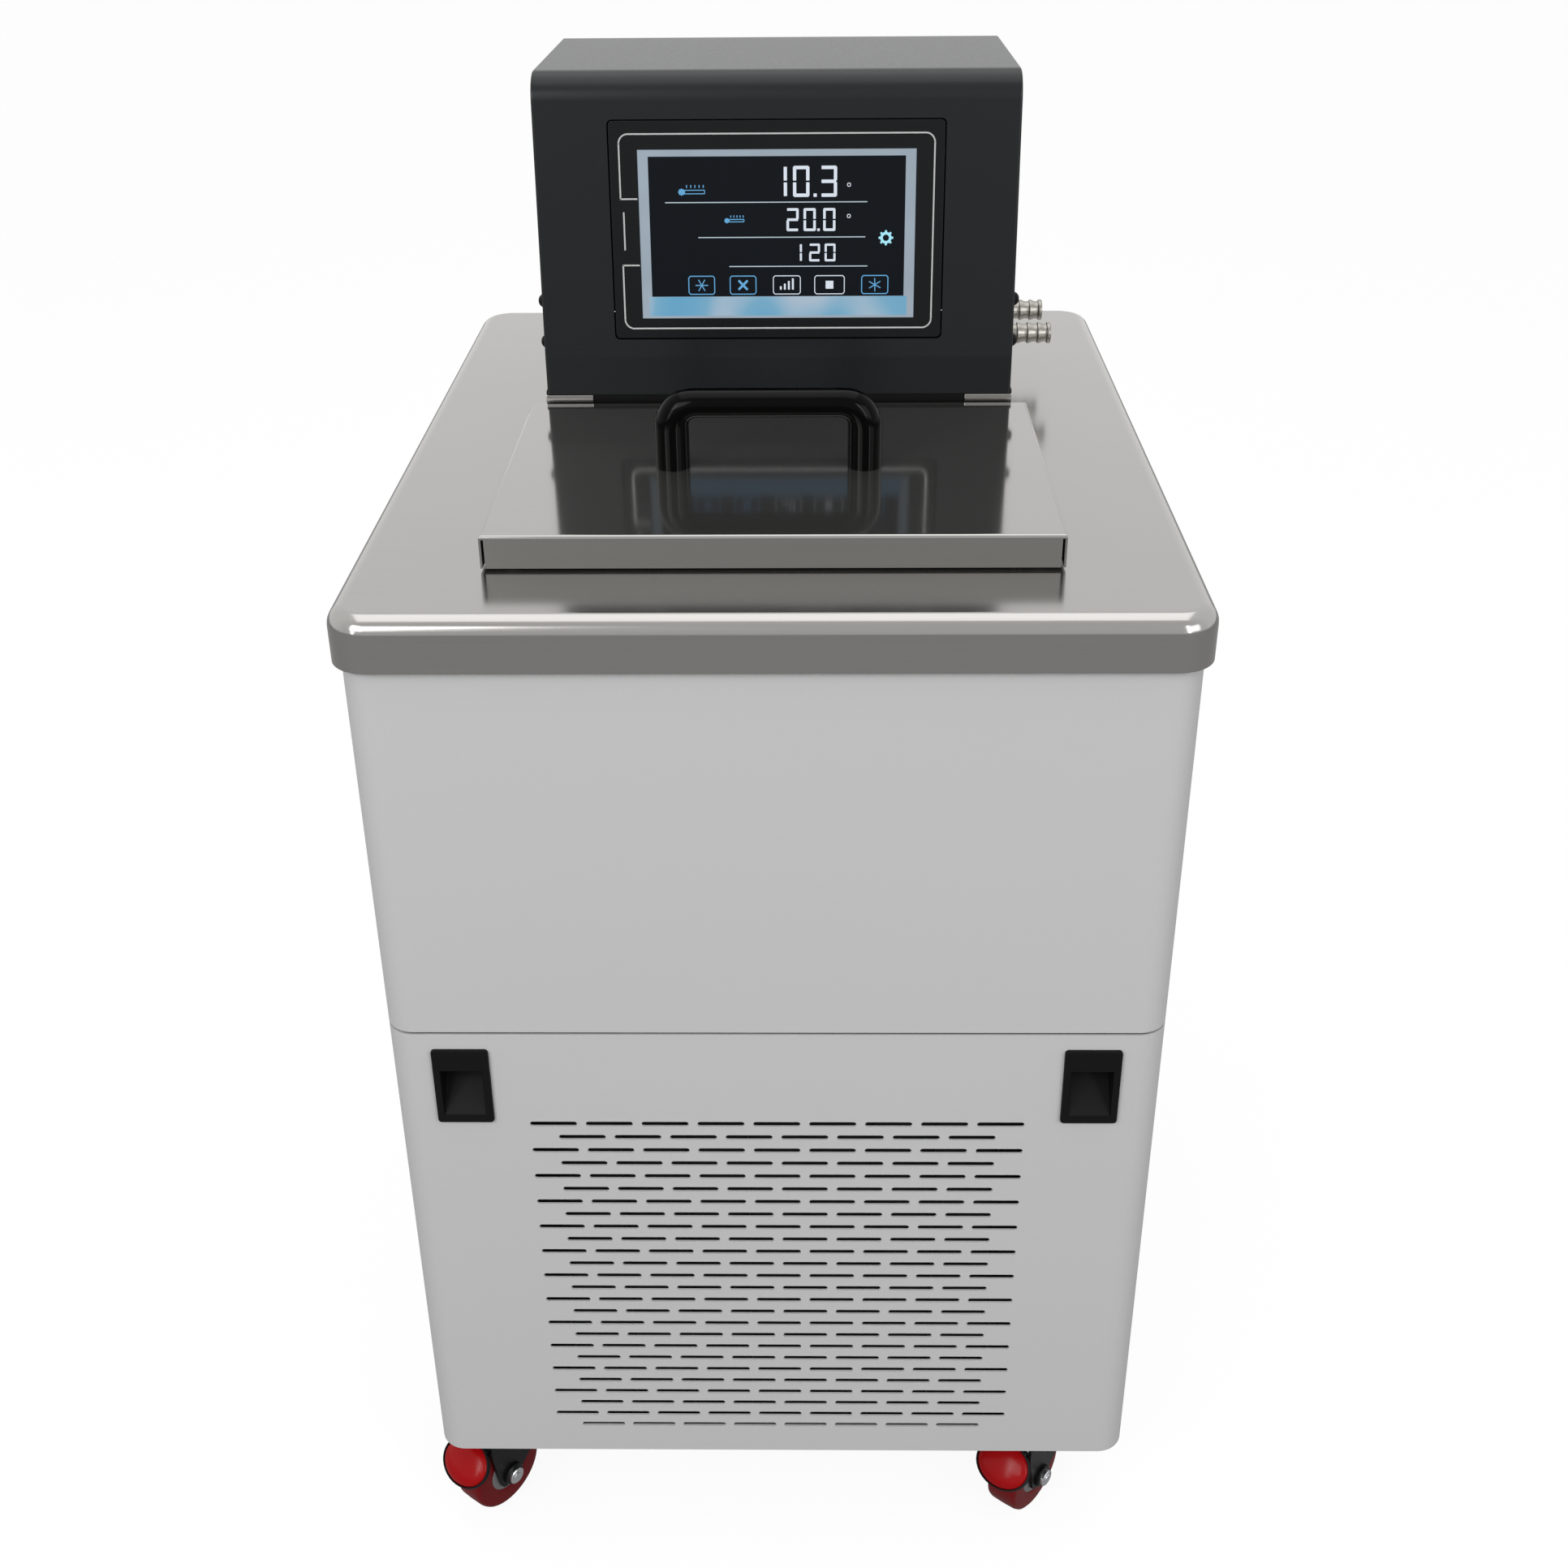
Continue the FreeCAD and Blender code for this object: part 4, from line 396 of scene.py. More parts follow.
def copied(model, name, place):
    twin = model.copy()
    twin.data = model.data.copy()
    twin.name = twin.data.name = name
    twin.data.transform(place)
    scene.collection.objects.link(twin)
    return twin


def clear_away(*models):
    for model in models:
        bpy.data.objects.remove(model)


SIDES = (("left", -1), ("right", 1))

# %% [markdown]
# ## The cabinet
# Two sheets wrap round the front and the sides, one above the other, with a dark seam between them. On
# the real thing each is one sheet that was folded in a press, with a narrow return behind. Here a block
# loses its top and bottom, its upright corners are rounded by 15 mm, two cuts open its back between the
# returns, and Solidify gives the skin its thickness inwards.

# %% Upper and lower shell
SHEET = 1.2
CABINET_FRONT, CABINET_BACK = -253, 251.8
RETURN_X = 170
SEAM_TOP = 369.6


def wrapped_shell(name, low, high):
    shell = block(name, (-200, CABINET_FRONT, low), (200, CABINET_BACK, high))
    open_faces(shell, lambda at, out: abs(out.z) > 0.9)
    bevel(shell, lambda at, way: abs(way.z) > 0.9, 15, steps=10)
    for side in (-RETURN_X, RETURN_X):
        pick(shell, "FACE", lambda at, out: True)
        bpy.ops.mesh.bisect(plane_co=(side * MM, 0, 0), plane_no=(1, 0, 0))
        leave()
    open_faces(shell, lambda at, out: out.y > 0.9 and abs(at.x) < RETURN_X - 1)
    to_sheet(shell, SHEET)
    return shell


upper_shell = wrapped_shell("upper_shell_skin", SEAM_TOP, 589.7)
bevel(upper_shell, lambda at, way: abs(at.z - SEAM_TOP) < 0.1, 0.35, steps=2)
finish_piece(upper_shell, "cabinet", "cabinet_paint", "upper_shell")

# %% [markdown]
# The front is punched with 26 rows of slots, nine and eight in turn, so that the condenser behind them
# gets its air. Drawing 221 slots by hand would take a day. One slot with round ends is made, two Array
# modifiers repeat it along its row and down the panel, and a Boolean takes all of them out of the sheet
# at once.

# %% Slots and grip openings in the lower shell
SLOT_STEP, ROW_STEP, ROWS_OF_A_KIND = 29.3, 17.72, 13
HALF_SLOT, HALF_HIGH = 12.4, 1.55
GRIP_X = 162.5


def slot_punch(name, count, highest):
    left = -(count - 1) * SLOT_STEP / 2
    punch = block(name, (left - HALF_SLOT, -260, highest - HALF_HIGH),
                  (left + HALF_SLOT, -245, highest + HALF_HIGH))
    bevel(punch, lambda at, way: abs(way.y) > 0.9, 1.5, steps=4)
    apply_change(punch, "ARRAY", count=count, use_relative_offset=False, use_constant_offset=True,
                 constant_offset_displace=(SLOT_STEP * MM, 0, 0))
    apply_change(punch, "ARRAY", count=ROWS_OF_A_KIND, use_relative_offset=False, use_constant_offset=True,
                 constant_offset_displace=(0, 0, -ROW_STEP * MM))
    return punch


lower_shell = wrapped_shell("lower_shell_skin", 68, 368.4)
cut_out(lower_shell, slot_punch("long_rows", 9, 310.5), slot_punch("short_rows", 8, 301.64),
        *[block("grip_way", (side * GRIP_X - 13, -262, 314.5), (side * GRIP_X + 13, -240, 357.5))
          for side in (-1, 1)])
finish_piece(lower_shell, "cabinet", "cabinet_paint", "lower_shell")

# %% [markdown]
# ## The deck
# The stainless top is one deep-drawn sheet: round corners in plan, a rolled edge of 9 mm and a skirt that
# hides the upper edge of the cabinet. Two bevels give the block those two radii, one after the other, and
# the sheet is then opened for the bath and the pump. A narrow upright collar round the bath keeps spills
# out.

# %% Deck with its rolled edge and collar
DECK_TOP = 601.5
deck = block("deck_sheet", (-204.5, -257.5, 574.5), (204.5, 257.5, DECK_TOP))
bevel(deck, lambda at, way: abs(way.z) > 0.9, 20, steps=12)
bevel(deck, lambda at, way: at.z > DECK_TOP - 0.1, 9, steps=8)
open_faces(deck, lambda at, out: out.z < -0.9)
to_sheet(deck, SHEET)
cut_out(deck, block("bath_mouth", (-117.3, -180.3, 560), (117.3, -23.7, 640)),
        block("pump_way", (-104, 14, 560), (104, 152, 640)))
finish_piece(deck, "cabinet", "stainless", "deck")
collar = block("bath_collar", (-118.5, -181.5, 600.8), (118.5, -22.5, 615.5))
bevel(collar, lambda at, way: abs(way.z) > 0.9, 4, steps=4)
open_faces(collar, lambda at, out: abs(out.z) > 0.9)
to_sheet(collar, SHEET)
finish_piece(collar, "cabinet", "stainless")

# %% [markdown]
# ## The lid
# The lid is a flat sheet with its four edges folded down. A folded sheet can't close its corners, so a
# thin slit stays open at each one, between the front fold and the end of the side fold. The bends have a
# radius of 1.7 mm.

# %% Folded lid
LID_TOP = 619.5
SLIT_X, HALF_SLIT = 136.9, 0.7
lid = block("lid_sheet", (-138.5, -201.5, 603), (138.5, -2.5, LID_TOP))
bevel(lid, lambda at, way: at.z > LID_TOP - 0.1, 1.7, steps=4)
open_faces(lid, lambda at, out: out.z < -0.9)
to_sheet(lid, 1.0)
cut_out(lid, *[block("corner_slit", (side * SLIT_X - HALF_SLIT, y - HALF_SLIT, 600),
                     (side * SLIT_X + HALF_SLIT, y + HALF_SLIT, 617.4))
               for side in (-1, 1) for y in (-201.2, -2.8)])
finish_piece(lid, "cabinet", "stainless", "lid", material=MIRROR_SHEET)

# %% [markdown]
# The handle is one glossy bow. Its legs are round and its bridge is lower than it is wide, so it feels
# flat under the fingers. A circle is pulled up from the lid, spun through a quarter turn, pulled across,
# spun again and pulled down. The bridge is pressed flatter at the end, with an influence that fades out
# along the bends.

# %% Bow handle
left_x, right_x, middle_y = -52.5, 45.5, -106.0
bend, bridge_z = 13.0, 653.0
rise = bridge_z - bend - LID_TOP
straight = right_x - left_x - 2 * bend
bpy.ops.object.select_all(action="DESELECT")
bpy.ops.mesh.primitive_circle_add(vertices=32, radius=8.7 * MM, fill_type="NGON",
                                  location=(left_x * MM, middle_y * MM, LID_TOP * MM))
bpy.ops.object.transform_apply()
handle = bpy.context.object
handle.name = handle.data.name = "handle_bow"
bpy.ops.object.mode_set(mode="EDIT")
bpy.ops.mesh.select_all(action="SELECT")
bpy.ops.mesh.extrude_region_move(TRANSFORM_OT_translate={"value": (0, 0, rise * MM)})
bpy.ops.mesh.spin(steps=14, angle=math.radians(90), axis=(0, -1, 0),
                  center=((left_x + bend) * MM, middle_y * MM, (bridge_z - bend) * MM))
bpy.ops.mesh.extrude_region_move(TRANSFORM_OT_translate={"value": (straight * MM, 0, 0)})
bpy.ops.mesh.spin(steps=14, angle=math.radians(90), axis=(0, -1, 0),
                  center=((right_x - bend) * MM, middle_y * MM, (bridge_z - bend) * MM))
bpy.ops.mesh.extrude_region_move(TRANSFORM_OT_translate={"value": (0, 0, -rise * MM)})
bpy.ops.mesh.select_all(action="SELECT")
bpy.ops.mesh.remove_doubles(threshold=0.01 * MM)
bpy.ops.mesh.normals_make_consistent(inside=False)
bpy.ops.mesh.select_all(action="DESELECT")
leave()
pick(handle, "EDGE", lambda at, way: at.z > bridge_z - 9.5
     and left_x + bend - 1 < at.x < right_x - bend + 1)
bpy.ops.transform.resize(value=(1, 1, 0.84), center_override=(0, middle_y * MM, (bridge_z - 0.5) * MM),
                         use_proportional_edit=True, proportional_edit_falloff="SMOOTH",
                         proportional_size=18 * MM)
leave()
finish_piece(handle, "cabinet", "gloss_black", "lid_handle", angle=40)

# %% [markdown]
# ## The control head
# The head is a folded cover. Its front stands upright for 21 mm, then leans back for the display, and
# turns over into the top with a wide bend. A block is cut across at the fold, its top front edge is
# pushed back, and the bend and the sharp side folds are bevelled.

# %% Head cover
LEAN = math.radians(4.9)
HEAD_X = 129.5
fold_z, head_top = 644.5, 792.5
cover = block("head_skin", (-HEAD_X, 0, 623.6), (HEAD_X, 166, head_top))
pick(cover, "FACE", lambda at, out: True)
bpy.ops.mesh.bisect(plane_co=(0, 0, fold_z * MM), plane_no=(0, 0, 1))
leave()
pick(cover, "EDGE", lambda at, way: at.z > head_top - 1 and at.y < 1)
bpy.ops.transform.translate(value=(0, (head_top - fold_z) * math.tan(LEAN) * MM, 0))
leave()
pick(cover, "EDGE", lambda at, way: at.z > head_top - 1 and at.y > 160)
bpy.ops.transform.translate(value=(0, 0, -4 * MM))
leave()
bevel(cover, lambda at, way: abs(way.x) > 0.9 and at.z > head_top - 1 and at.y < 30, 14, steps=10)
bevel(cover, lambda at, way: abs(way.x) < 0.9 and abs(abs(at.x) - HEAD_X) < 0.1 and at.z > 624
      and at.y < 165.9, 1.3, steps=3)
bevel(cover, lambda at, way: abs(way.x) > 0.9 and abs(at.z - fold_z) < 0.1 and at.y < 1, 0.8, steps=1)
open_faces(cover, lambda at, out: out.z < -0.9 or out.y > 0.98)
to_sheet(cover, 1.5)
print("head cover leans by", round(math.degrees(LEAN), 1), "degrees")

# %% [markdown]
# Everything on the leaning face is easier to draw flat. A piece is made with x across, z up the face from
# the fold and y into the head, and one matrix then tips it onto the face. It keeps its object at the
# origin, because the matrix is applied to the mesh.

# %% Tip flat pieces onto the face
ON_FACE = Matrix.Translation((0, 0, fold_z * MM)) @ Matrix.Rotation(-LEAN, 4, "X")


def tip(piece):
    piece.data.transform(ON_FACE)
    return piece


window = block("bezel_way", (-90, -8, 10), (90, 12, 125.4))
bevel(window, lambda at, way: abs(way.y) > 0.9, 2.8, steps=4)
tip(window)
cut_out(cover, window)
finish_piece(cover, "cabinet", "head_paint", "head_cover", angle=30)

# %% [markdown]
# The display sits in a moulded bezel that lies just below the painted face. A window is cut through it and
# its outer edge has a small bevel, so that the lit screen is framed.

# %% Bezel
bezel = block("bezel_plate", (-89.4, 0.4, 10.6), (89.4, 4.8, 124.8))
bevel(bezel, lambda at, way: abs(way.y) > 0.9, 2.6, steps=4)
bevel(bezel, lambda at, way: at.y < 0.5, 0.5, steps=2)
cut_out(bezel, block("screen_way", (-74.6, -5, 21.0), (74.6, 9, 110.0)))
finish_piece(tip(bezel), "cabinet", "bezel_grey", "display_bezel")

# %% [markdown]
# The screen glows. An emitting colour needs little: the rim of the panel is a pale blue light, the field
# inside it is nearly black, and a band at its foot is a stronger blue. Such a panel sends its light
# straight ahead and dims when it is looked at from below, so its mirror image in the lid is weak. Light
# Path tells the two apart.

# %% Screen lights
def lit_panel(name):
    finish = Finish(name, Roughness=0.2, Specular_IOR_Level=0.15, Emission_Strength=1.0)
    return finish, finish.node("ShaderNodeLightPath")


def glow(name, colour):
    finish, seen_direct = lit_panel(name)
    spread = finish.grain(40.0, detail=2.0)
    lit = finish.blend(spread, shade(colour, 0.9), shade(colour, 1.1))
    finish.link(Base_Color=finish.blend(spread, shade(colour, 0.1), shade(colour, 0.12)),
                Emission_Color=finish.blend(seen_direct, shade(colour, 0.12), lit))
    return finish.material


def cloudy_foot():
    finish, seen_direct = lit_panel("screen_foot")
    drift = finish.grain(26.0, (1, 1, 0.6), detail=0.5)
    stops = [(0.34, (0.11, 0.33, 0.52, 1)), (0.5, (0.17, 0.37, 0.52, 1)), (0.62, (0.38, 0.47, 0.56, 1))]
    tone = finish.node("ShaderNodeValToRGB", {"stops": stops}, {"Fac": drift})
    finish.link(Base_Color=(0.01, 0.02, 0.03, 1),
                Emission_Color=finish.blend(seen_direct, (0.02, 0.04, 0.06, 1), tone))
    return finish.material


LIGHTS = {
    "pale": glow("screen_pale", (0.29, 0.35, 0.41)),
    "white": glow("screen_white", (0.62, 0.68, 0.76)),
    "blue": glow("screen_blue", (0.12, 0.36, 0.62)),
    "cyan": glow("screen_cyan", (0.35, 0.72, 0.85)),
    "line": glow("screen_line", (0.42, 0.5, 0.56)),
    "field": glow("screen_field", (0.002, 0.0035, 0.006)),
}
rim = block("screen_rim", (-74.4, 1.4, 21.2), (74.4, 7, 109.8))
bevel(rim, lambda at, way: at.y < 1.5, 0.5, steps=2)
finish_piece(tip(rim), "cabinet", "display", "display_panel", material=LIGHTS["pale"])
field = block("screen_field", (-68.8, 1.2, 33.0), (68.8, 1.6, 106.4))
bevel(field, lambda at, way: at.y < 1.3, 0.1, steps=1)
finish_piece(tip(field), "cabinet", "display", material=LIGHTS["field"])
foot = block("screen_foot", (-70.5, 1.25, 22.6), (70.5, 1.6, 32.9))
bevel(foot, lambda at, way: at.y < 1.3, 0.1, steps=1)
finish_piece(tip(foot), "cabinet", "display", material=cloudy_foot())

# %% [markdown]
# Numbers on such a display are made of seven bars each. Every mark is a thin bar, added in edit mode to
# one mesh, so a line of numbers stays one piece. The bars stand a little proud of
# the glass.

# %% Bars, frames and digits
SEGMENTS = {"0": "abcdef", "1": "bc", "2": "abged", "3": "abgcd"}


def marks(name, draw, colour):
    made = block(name, (-1, 0, 0), (1, 1, 1))
    bpy.ops.object.mode_set(mode="EDIT")
    bpy.ops.mesh.select_all(action="SELECT")
    bpy.ops.mesh.delete(type="VERT")
    draw()
    leave()
    bevel(made, lambda at, way: abs(way.y) > 0.9, 0.16, steps=2)
    return finish_piece(tip(made), "cabinet", "display", material=LIGHTS[colour])


def bar(left, right, low, high, turn=0.0, front=1.05):
    bpy.ops.mesh.primitive_cube_add(
        size=1, location=((left + right) / 2 * MM, (front + 0.15) * MM, (low + high) / 2 * MM),
        rotation=(0, turn, 0), scale=((right - left) * MM, 0.3 * MM, (high - low) * MM))


def outline(left, right, low, high, width, soft=1.1):
    bar(left + soft, right - soft, low, low + width)
    bar(left + soft, right - soft, high - width, high)
    bar(left, left + width, low + soft, high - soft)
    bar(right - width, right, low + soft, high - soft)
    for x, across in ((left, 1), (right, -1)):
        for z, up in ((low, 1), (high, -1)):
            near, far = sorted((x + across * width * 0.3, x + across * (soft + width * 0.5)))
            middle = z + up * (soft + width * 0.4) / 2
            bar(near - 0.15, far + 0.15, middle - width / 2, middle + width / 2, across * up * math.pi / 4)


def digit(number, left, low, width, height, stroke):
    right, high, half = left + width, low + height, low + height / 2
    gap = stroke * 0.28
    places = {
        "a": (left + gap, right - gap, high - stroke, high),
        "d": (left + gap, right - gap, low, low + stroke),
        "g": (left + gap, right - gap, half - stroke / 2, half + stroke / 2),
        "f": (left, left + stroke, half + gap, high - gap),
        "b": (right - stroke, right, half + gap, high - gap),
        "e": (left, left + stroke, low + gap, half - gap),
        "c": (right - stroke, right, low + gap, half - gap)}
    for segment in SEGMENTS[number]:
        bar(*places[segment])


def number(signs, low, width, height, stroke):
    for sign, left in signs:
        if sign == ".":
            bar(left, left + stroke, low, low + stroke)
        else:
            digit(sign, left, low, width, height, stroke)

# %% [markdown]
# The screen shows two temperatures, a third line, a row of five keys and a cog. All of them are plain
# numbers and simple signs, in the sizes and colours of a working display.

# %% What the screen shows
def white_marks():
    number((("1", -3.4), ("0", 8.6), (".", 19.6), ("3", 23.4)), 85.4, 8.8, 16.0, 1.75)
    number((("2", 5.0), ("0", 14.2), (".", 21.6), ("0", 24.8)), 67.6, 6.6, 12.0, 1.35)
    number((("1", 7.4), ("2", 17.2), ("0", 25.6)), 51.6, 5.9, 9.4, 1.15)
    outline(-2.6, 12.6, 34.0, 44.2, 0.45)
    outline(20.0, 36.6, 34.0, 44.2, 0.45)
    for step in range(4):
        bar(1.2 + step * 2.2, 2.2 + step * 2.2, 36.6, 38.4 + step * 1.4)
    bar(26.2, 30.4, 37.0, 41.2)


def blue_marks():
    for left, right in ((-48.8, -34.2), (-26.2, -11.6), (45.6, 60.4)):
        outline(left, right, 34.0, 44.2, 0.5)
    for turn in range(3):
        bar(-45.0, -38.0, 38.8, 39.3, turn * math.pi / 3)
        bar(49.4, 56.6, 38.8, 39.3, turn * math.pi / 3 + 0.5)
    for turn in range(2):
        bar(-22.4, -15.4, 38.5, 39.7, turn * math.pi / 2 + 0.8)


def thermometer(left, low, size):
    bar(left, left + size * 0.5, low, low + size * 0.5)
    bar(left, left + size * 0.5, low, low + size * 0.5, math.pi / 4)
    outline(left + size * 0.5, left + size * 2.5, low + size * 0.05, low + size * 0.45, 0.42, 0.4)
    for step in range(5):
        notch = left + size * (0.7 + step * 0.4)
        bar(notch, notch + 0.5, low + size * 0.62, low + size * 0.9)


def label_marks():
    thermometer(-52.6, 86.8, 5.6)
    thermometer(-28.2, 72.2, 4.2)


def ruled_lines():
    bar(-60.2, 48.5, 82.5, 83.0)
    bar(-42.8, 47.6, 64.2, 64.7)
    bar(-26.3, 48.9, 48.8, 49.3)


def cog_marks():
    for step in range(8):
        turn = step * math.pi / 4
        for radius, half, stroke in ((2.3, 1.1, 1.3), (3.4, 0.55, 1.1)):
            x, z = 58.7 + radius * math.sin(turn), 63.9 + radius * math.cos(turn)
            bar(x - half, x + half, z - stroke / 2, z + stroke / 2, turn)


def degree_marks():
    for low in (90.6, 74.4):
        outline(37.6, 39.6, low, low + 2.0, 0.4, 0.5)


marks("screen_numbers", white_marks, "white")
marks("screen_keys", blue_marks, "blue")
marks("screen_labels", label_marks, "blue")
marks("screen_rules", ruled_lines, "line")
marks("screen_cog", cog_marks, "cyan")
marks("screen_degrees", degree_marks, "white")

# %% [markdown]
# A pale line is printed round the screen, with round corners and a gap on its left side. Printed ink has
# next to no height, so thin bars in a satin grey serve, just proud of the bezel.

# %% Printed line round the screen
INK_FRONT = 0.3


def printed_line():
    for place in ((-79.0, 79.0, 117.6, 118.4), (-79.0, 79.0, 15.6, 16.4), (83.6, 84.4, 20.6, 113.4),
                  (-84.4, -83.6, 84.4, 113.4), (-84.4, -83.6, 20.6, 50.4), (-84.4, -75.0, 84.4, 85.2),
                  (-84.4, -75.0, 49.6, 50.4), (-83.0, -82.2, 58.0, 78.0)):
        bar(*place, front=INK_FRONT)
    for side in (-1, 1):
        for end, height in ((-1, 16.0), (1, 118.0)):
            for step in range(6):
                turn = math.radians(15 * step + 7.5)
                x = side * (79.0 + 5.0 * math.sin(turn))
                z = height - end * 5.0 * (1 - math.cos(turn))
                bar(x - 0.75, x + 0.75, z - 0.4, z + 0.4, side * end * turn, front=INK_FRONT)


LIGHTS["ink"] = moulded("line_ink", (0.5, 0.5, 0.5), 0.4, depth=0.00001)
marks("printed_line", printed_line, "ink")

# %% [markdown]
# ## Base of the head
# A low folded box lifts the cover off the wet deck. It is coloured matt black as painted shade, in place
# of the shadow in the gap under the head, so between lid and head there is only a dark gap, and a bright
# steel clip shows at each end of it. The bends are small, as on the lid.

# %% Head base and its clips
BASE_X, CLIP_LONG = 130.5, 26.5
base = block("head_base_painted_shade_box", (-BASE_X, 2.0, DECK_TOP), (BASE_X, 165, 625.5))
bevel(base, lambda at, way: abs(way.z) > 0.9 or at.z > 625.4, 1.2, steps=3)
open_faces(base, lambda at, out: out.z < -0.9)
to_sheet(base, 1.5)
# Painted shade: the base takes the matt black finish, which stands for the shadowed gap under the head.
finish_piece(base, "cabinet", "stainless", "head_base", material=FINISHES["matte_black"])
clip = block("head_clip", (-CLIP_LONG / 2, 0.6, 618.5), (CLIP_LONG / 2, 3.0, 623.0))
bevel(clip, lambda at, way: True, 0.5, steps=2)
for label, side in SIDES:
    clip_copy = copied(clip, f"head_clip_{label}", moved(side * (BASE_X - CLIP_LONG / 2)))
    finish_piece(clip_copy, "cabinet", "stainless")
clear_away(clip)

# %% [markdown]
# ## Hose nozzles
# The two nozzles were turned on a lathe, with a hexagon for the spanner and ribs that hold a hose. A
# lathe is easy to follow: a circle is pulled along the axis, and its radius changes at each station.

# %% Turned nozzles
def barbed_stations():
    stations = [(-2, 5.2), (9.5, 5.2)]
    for start in (10.5, 16.6, 22.7):
        stations += [(start, 5.2), (start + 0.3, 6.0), (start + 1.2, 6.2), (start + 3.6, 5.2)]
    stations += [(28.2, 5.2), (28.5, 6.0), (29.4, 6.2), (30.4, 6.1), (30.8, 5.7), (30.8, 3.7), (8, 3.6)]
    return stations


nozzle = turned("hose_nozzle", (HEAD_X, 0, 633.5), (1, 0, 0), barbed_stations())
hexagon = turned("hose_hexagon", (HEAD_X, 0, 633.5), (1, 0, 0),
                 [(0.05, 7.2), (0.7, 8.0), (4.6, 8.0), (5.2, 7.3)], 6)
for label, y in (("outlet", 85), ("return", 135)):
    finish_piece(copied(nozzle, f"{label}_nozzle", moved(y=y)), "cabinet", "stainless", f"{label}_pipe",
                 angle=40, material=TURNED_STEEL)
    finish_piece(copied(hexagon, f"{label}_hexagon", moved(y=y)), "cabinet", "stainless",
                 angle=20, material=TURNED_STEEL)
clear_away(nozzle, hexagon)

# %% [markdown]
# Domed screws hold the cover on both sides. They are small, yet they catch a highlight, so each is turned
# with a round head and a round socket.

# %% Side screws
screw = turned("side_screw", (0, 0, 0), (1, 0, 0),
               [(0, 4.1), (0.6, 4.1), (2.0, 3.8), (3.2, 3.1), (4.0, 2.2), (4.4, 1.3), (2.4, 1.25)], 20)
for label, side in SIDES:
    for height in (647.5, 670.5):
        place = moved(side * HEAD_X, 22.6, height) @ turned_round(0 if side > 0 else 1)
        carries_node = side > 0 and height > 650
        finish_piece(copied(screw, f"side_screw_{label}_{round(height)}", place), "cabinet", "matte_black",
                     *(["cover_screws"] if carries_node else []))
clear_away(screw)

# %% [markdown]
# ## Recessed grips
# A moulded well on each side of the front lets fingers pull the bath out of its corner. Its rim stands
# two millimetres proud with bevelled edges. The well is deepest at its top, and its floor slopes out to
# the lower edge. So the block's back is drawn out to a smaller box, its front is inset and pushed into
# that box, and the lower edges of both are drawn up together.

# %% Grips
RIM_FRONT, RIM_BACK = -255, -251.5
grip = block("grip_rim", (-14.75, RIM_FRONT, 312.75), (14.75, RIM_BACK, 359.25))
bevel(grip, lambda at, way: abs(way.y) > 0.9, 1.9, steps=4)
bevel(grip, lambda at, way: at.y < RIM_FRONT + 0.1, 0.8, steps=2)
pick(grip, "FACE", lambda at, out: out.y > 0.99)
bpy.ops.mesh.inset(thickness=1.2 * MM)
bpy.ops.transform.resize(value=(0.893, 1, 0.78), center_override=(0, RIM_BACK * MM, 321.45 * MM))
bpy.ops.mesh.extrude_region_move(TRANSFORM_OT_translate={"value": (0, 17.2 * MM, 0)})
leave()
pick(grip, "FACE", lambda at, out: out.y < -0.99)
bpy.ops.mesh.inset(thickness=0.9 * MM)
bpy.ops.transform.resize(value=(0.8467, 1, 0.6659), center_override=(0, RIM_FRONT * MM, 324.78 * MM))
bpy.ops.mesh.extrude_region_move(TRANSFORM_OT_translate={"value": (0, 1 * MM, 0)})
bpy.ops.transform.resize(value=(0.96, 1, 0.97), center_override=(0, -254 * MM, 332.2 * MM))
bpy.ops.mesh.extrude_region_move(TRANSFORM_OT_translate={"value": (0, 18.5 * MM, 0)})
leave()
pick(grip, "VERT", lambda at, way: at.y > -237 and at.z < 331)
bpy.ops.transform.translate(value=(0, 0, 20.5 * MM))
leave()
for label, side in SIDES:
    finish_piece(copied(grip, f"{label}_grip_rim", moved(side * GRIP_X)), "cabinet", "matte_black",
                 f"{label}_grip", angle=28)
clear_away(grip)

# %% [markdown]
# ## The back
# Six screws hold the rear panel, with flat domes that a driver turns by a cross. The drain cock sits in
# its recess: two hexagons clamp the pipe, ribs hold a hose below them, and a red lever with round ends
# turns with it.

# %% Rear screws and drain fittings
PANEL_SCREW_X, PANEL_BACK = 177.5, 253
screw = turned("panel_screw", (0, PANEL_BACK, 0), (0, 1, 0),
               [(0, 4.4), (0.5, 4.4), (1.3, 4.0), (2.0, 3.0), (2.4, 1.6)], 24)
for turn in (20, 110):
    slot = block("driver_slot", (-2.2, PANEL_BACK + 1.2, -0.35), (2.2, PANEL_BACK + 3, 0.35))
    slot.data.transform(Matrix.Rotation(math.radians(turn), 4, "Y"))
    cut_out(screw, slot)
for label, side in SIDES:
    for height in (99.5, 369.0, 549.7):
        screw_copy = copied(screw, f"panel_screw_{label}_{round(height)}",
                            moved(side * PANEL_SCREW_X, 0, height))
        carries_node = side > 0 and height > 500
        finish_piece(screw_copy, "cabinet", "zinc", *(["panel_screws"] if carries_node else []))
clear_away(screw)
for name, low, high in (("upper", 313.5, 321), ("lower", 284, 290.5)):
    nut = turned(f"drain_nut_{name}", (-90, 235, 0), (0, 0, 1),
                 [(low, 8.6), (low + 0.7, 9.4), (high - 0.7, 9.4), (high, 8.6)], 6)
    finish_piece(nut, "cabinet", "valve_brass", angle=20)
rib_stations = [(-284, 6.2), (-282, 6.2), (-281.6, 7.2), (-279.4, 6.2), (-278.6, 6.2), (-278.2, 7.2),
                (-275.6, 6.2)]
ribs = turned("drain_ribs", (-90, 235, 0), (0, 0, -1), rib_stations, 28)
finish_piece(ribs, "cabinet", "valve_brass", angle=30)
lever = block("drain_lever_grip", (-95, 244.3, 275), (-85, 247.3, 308))
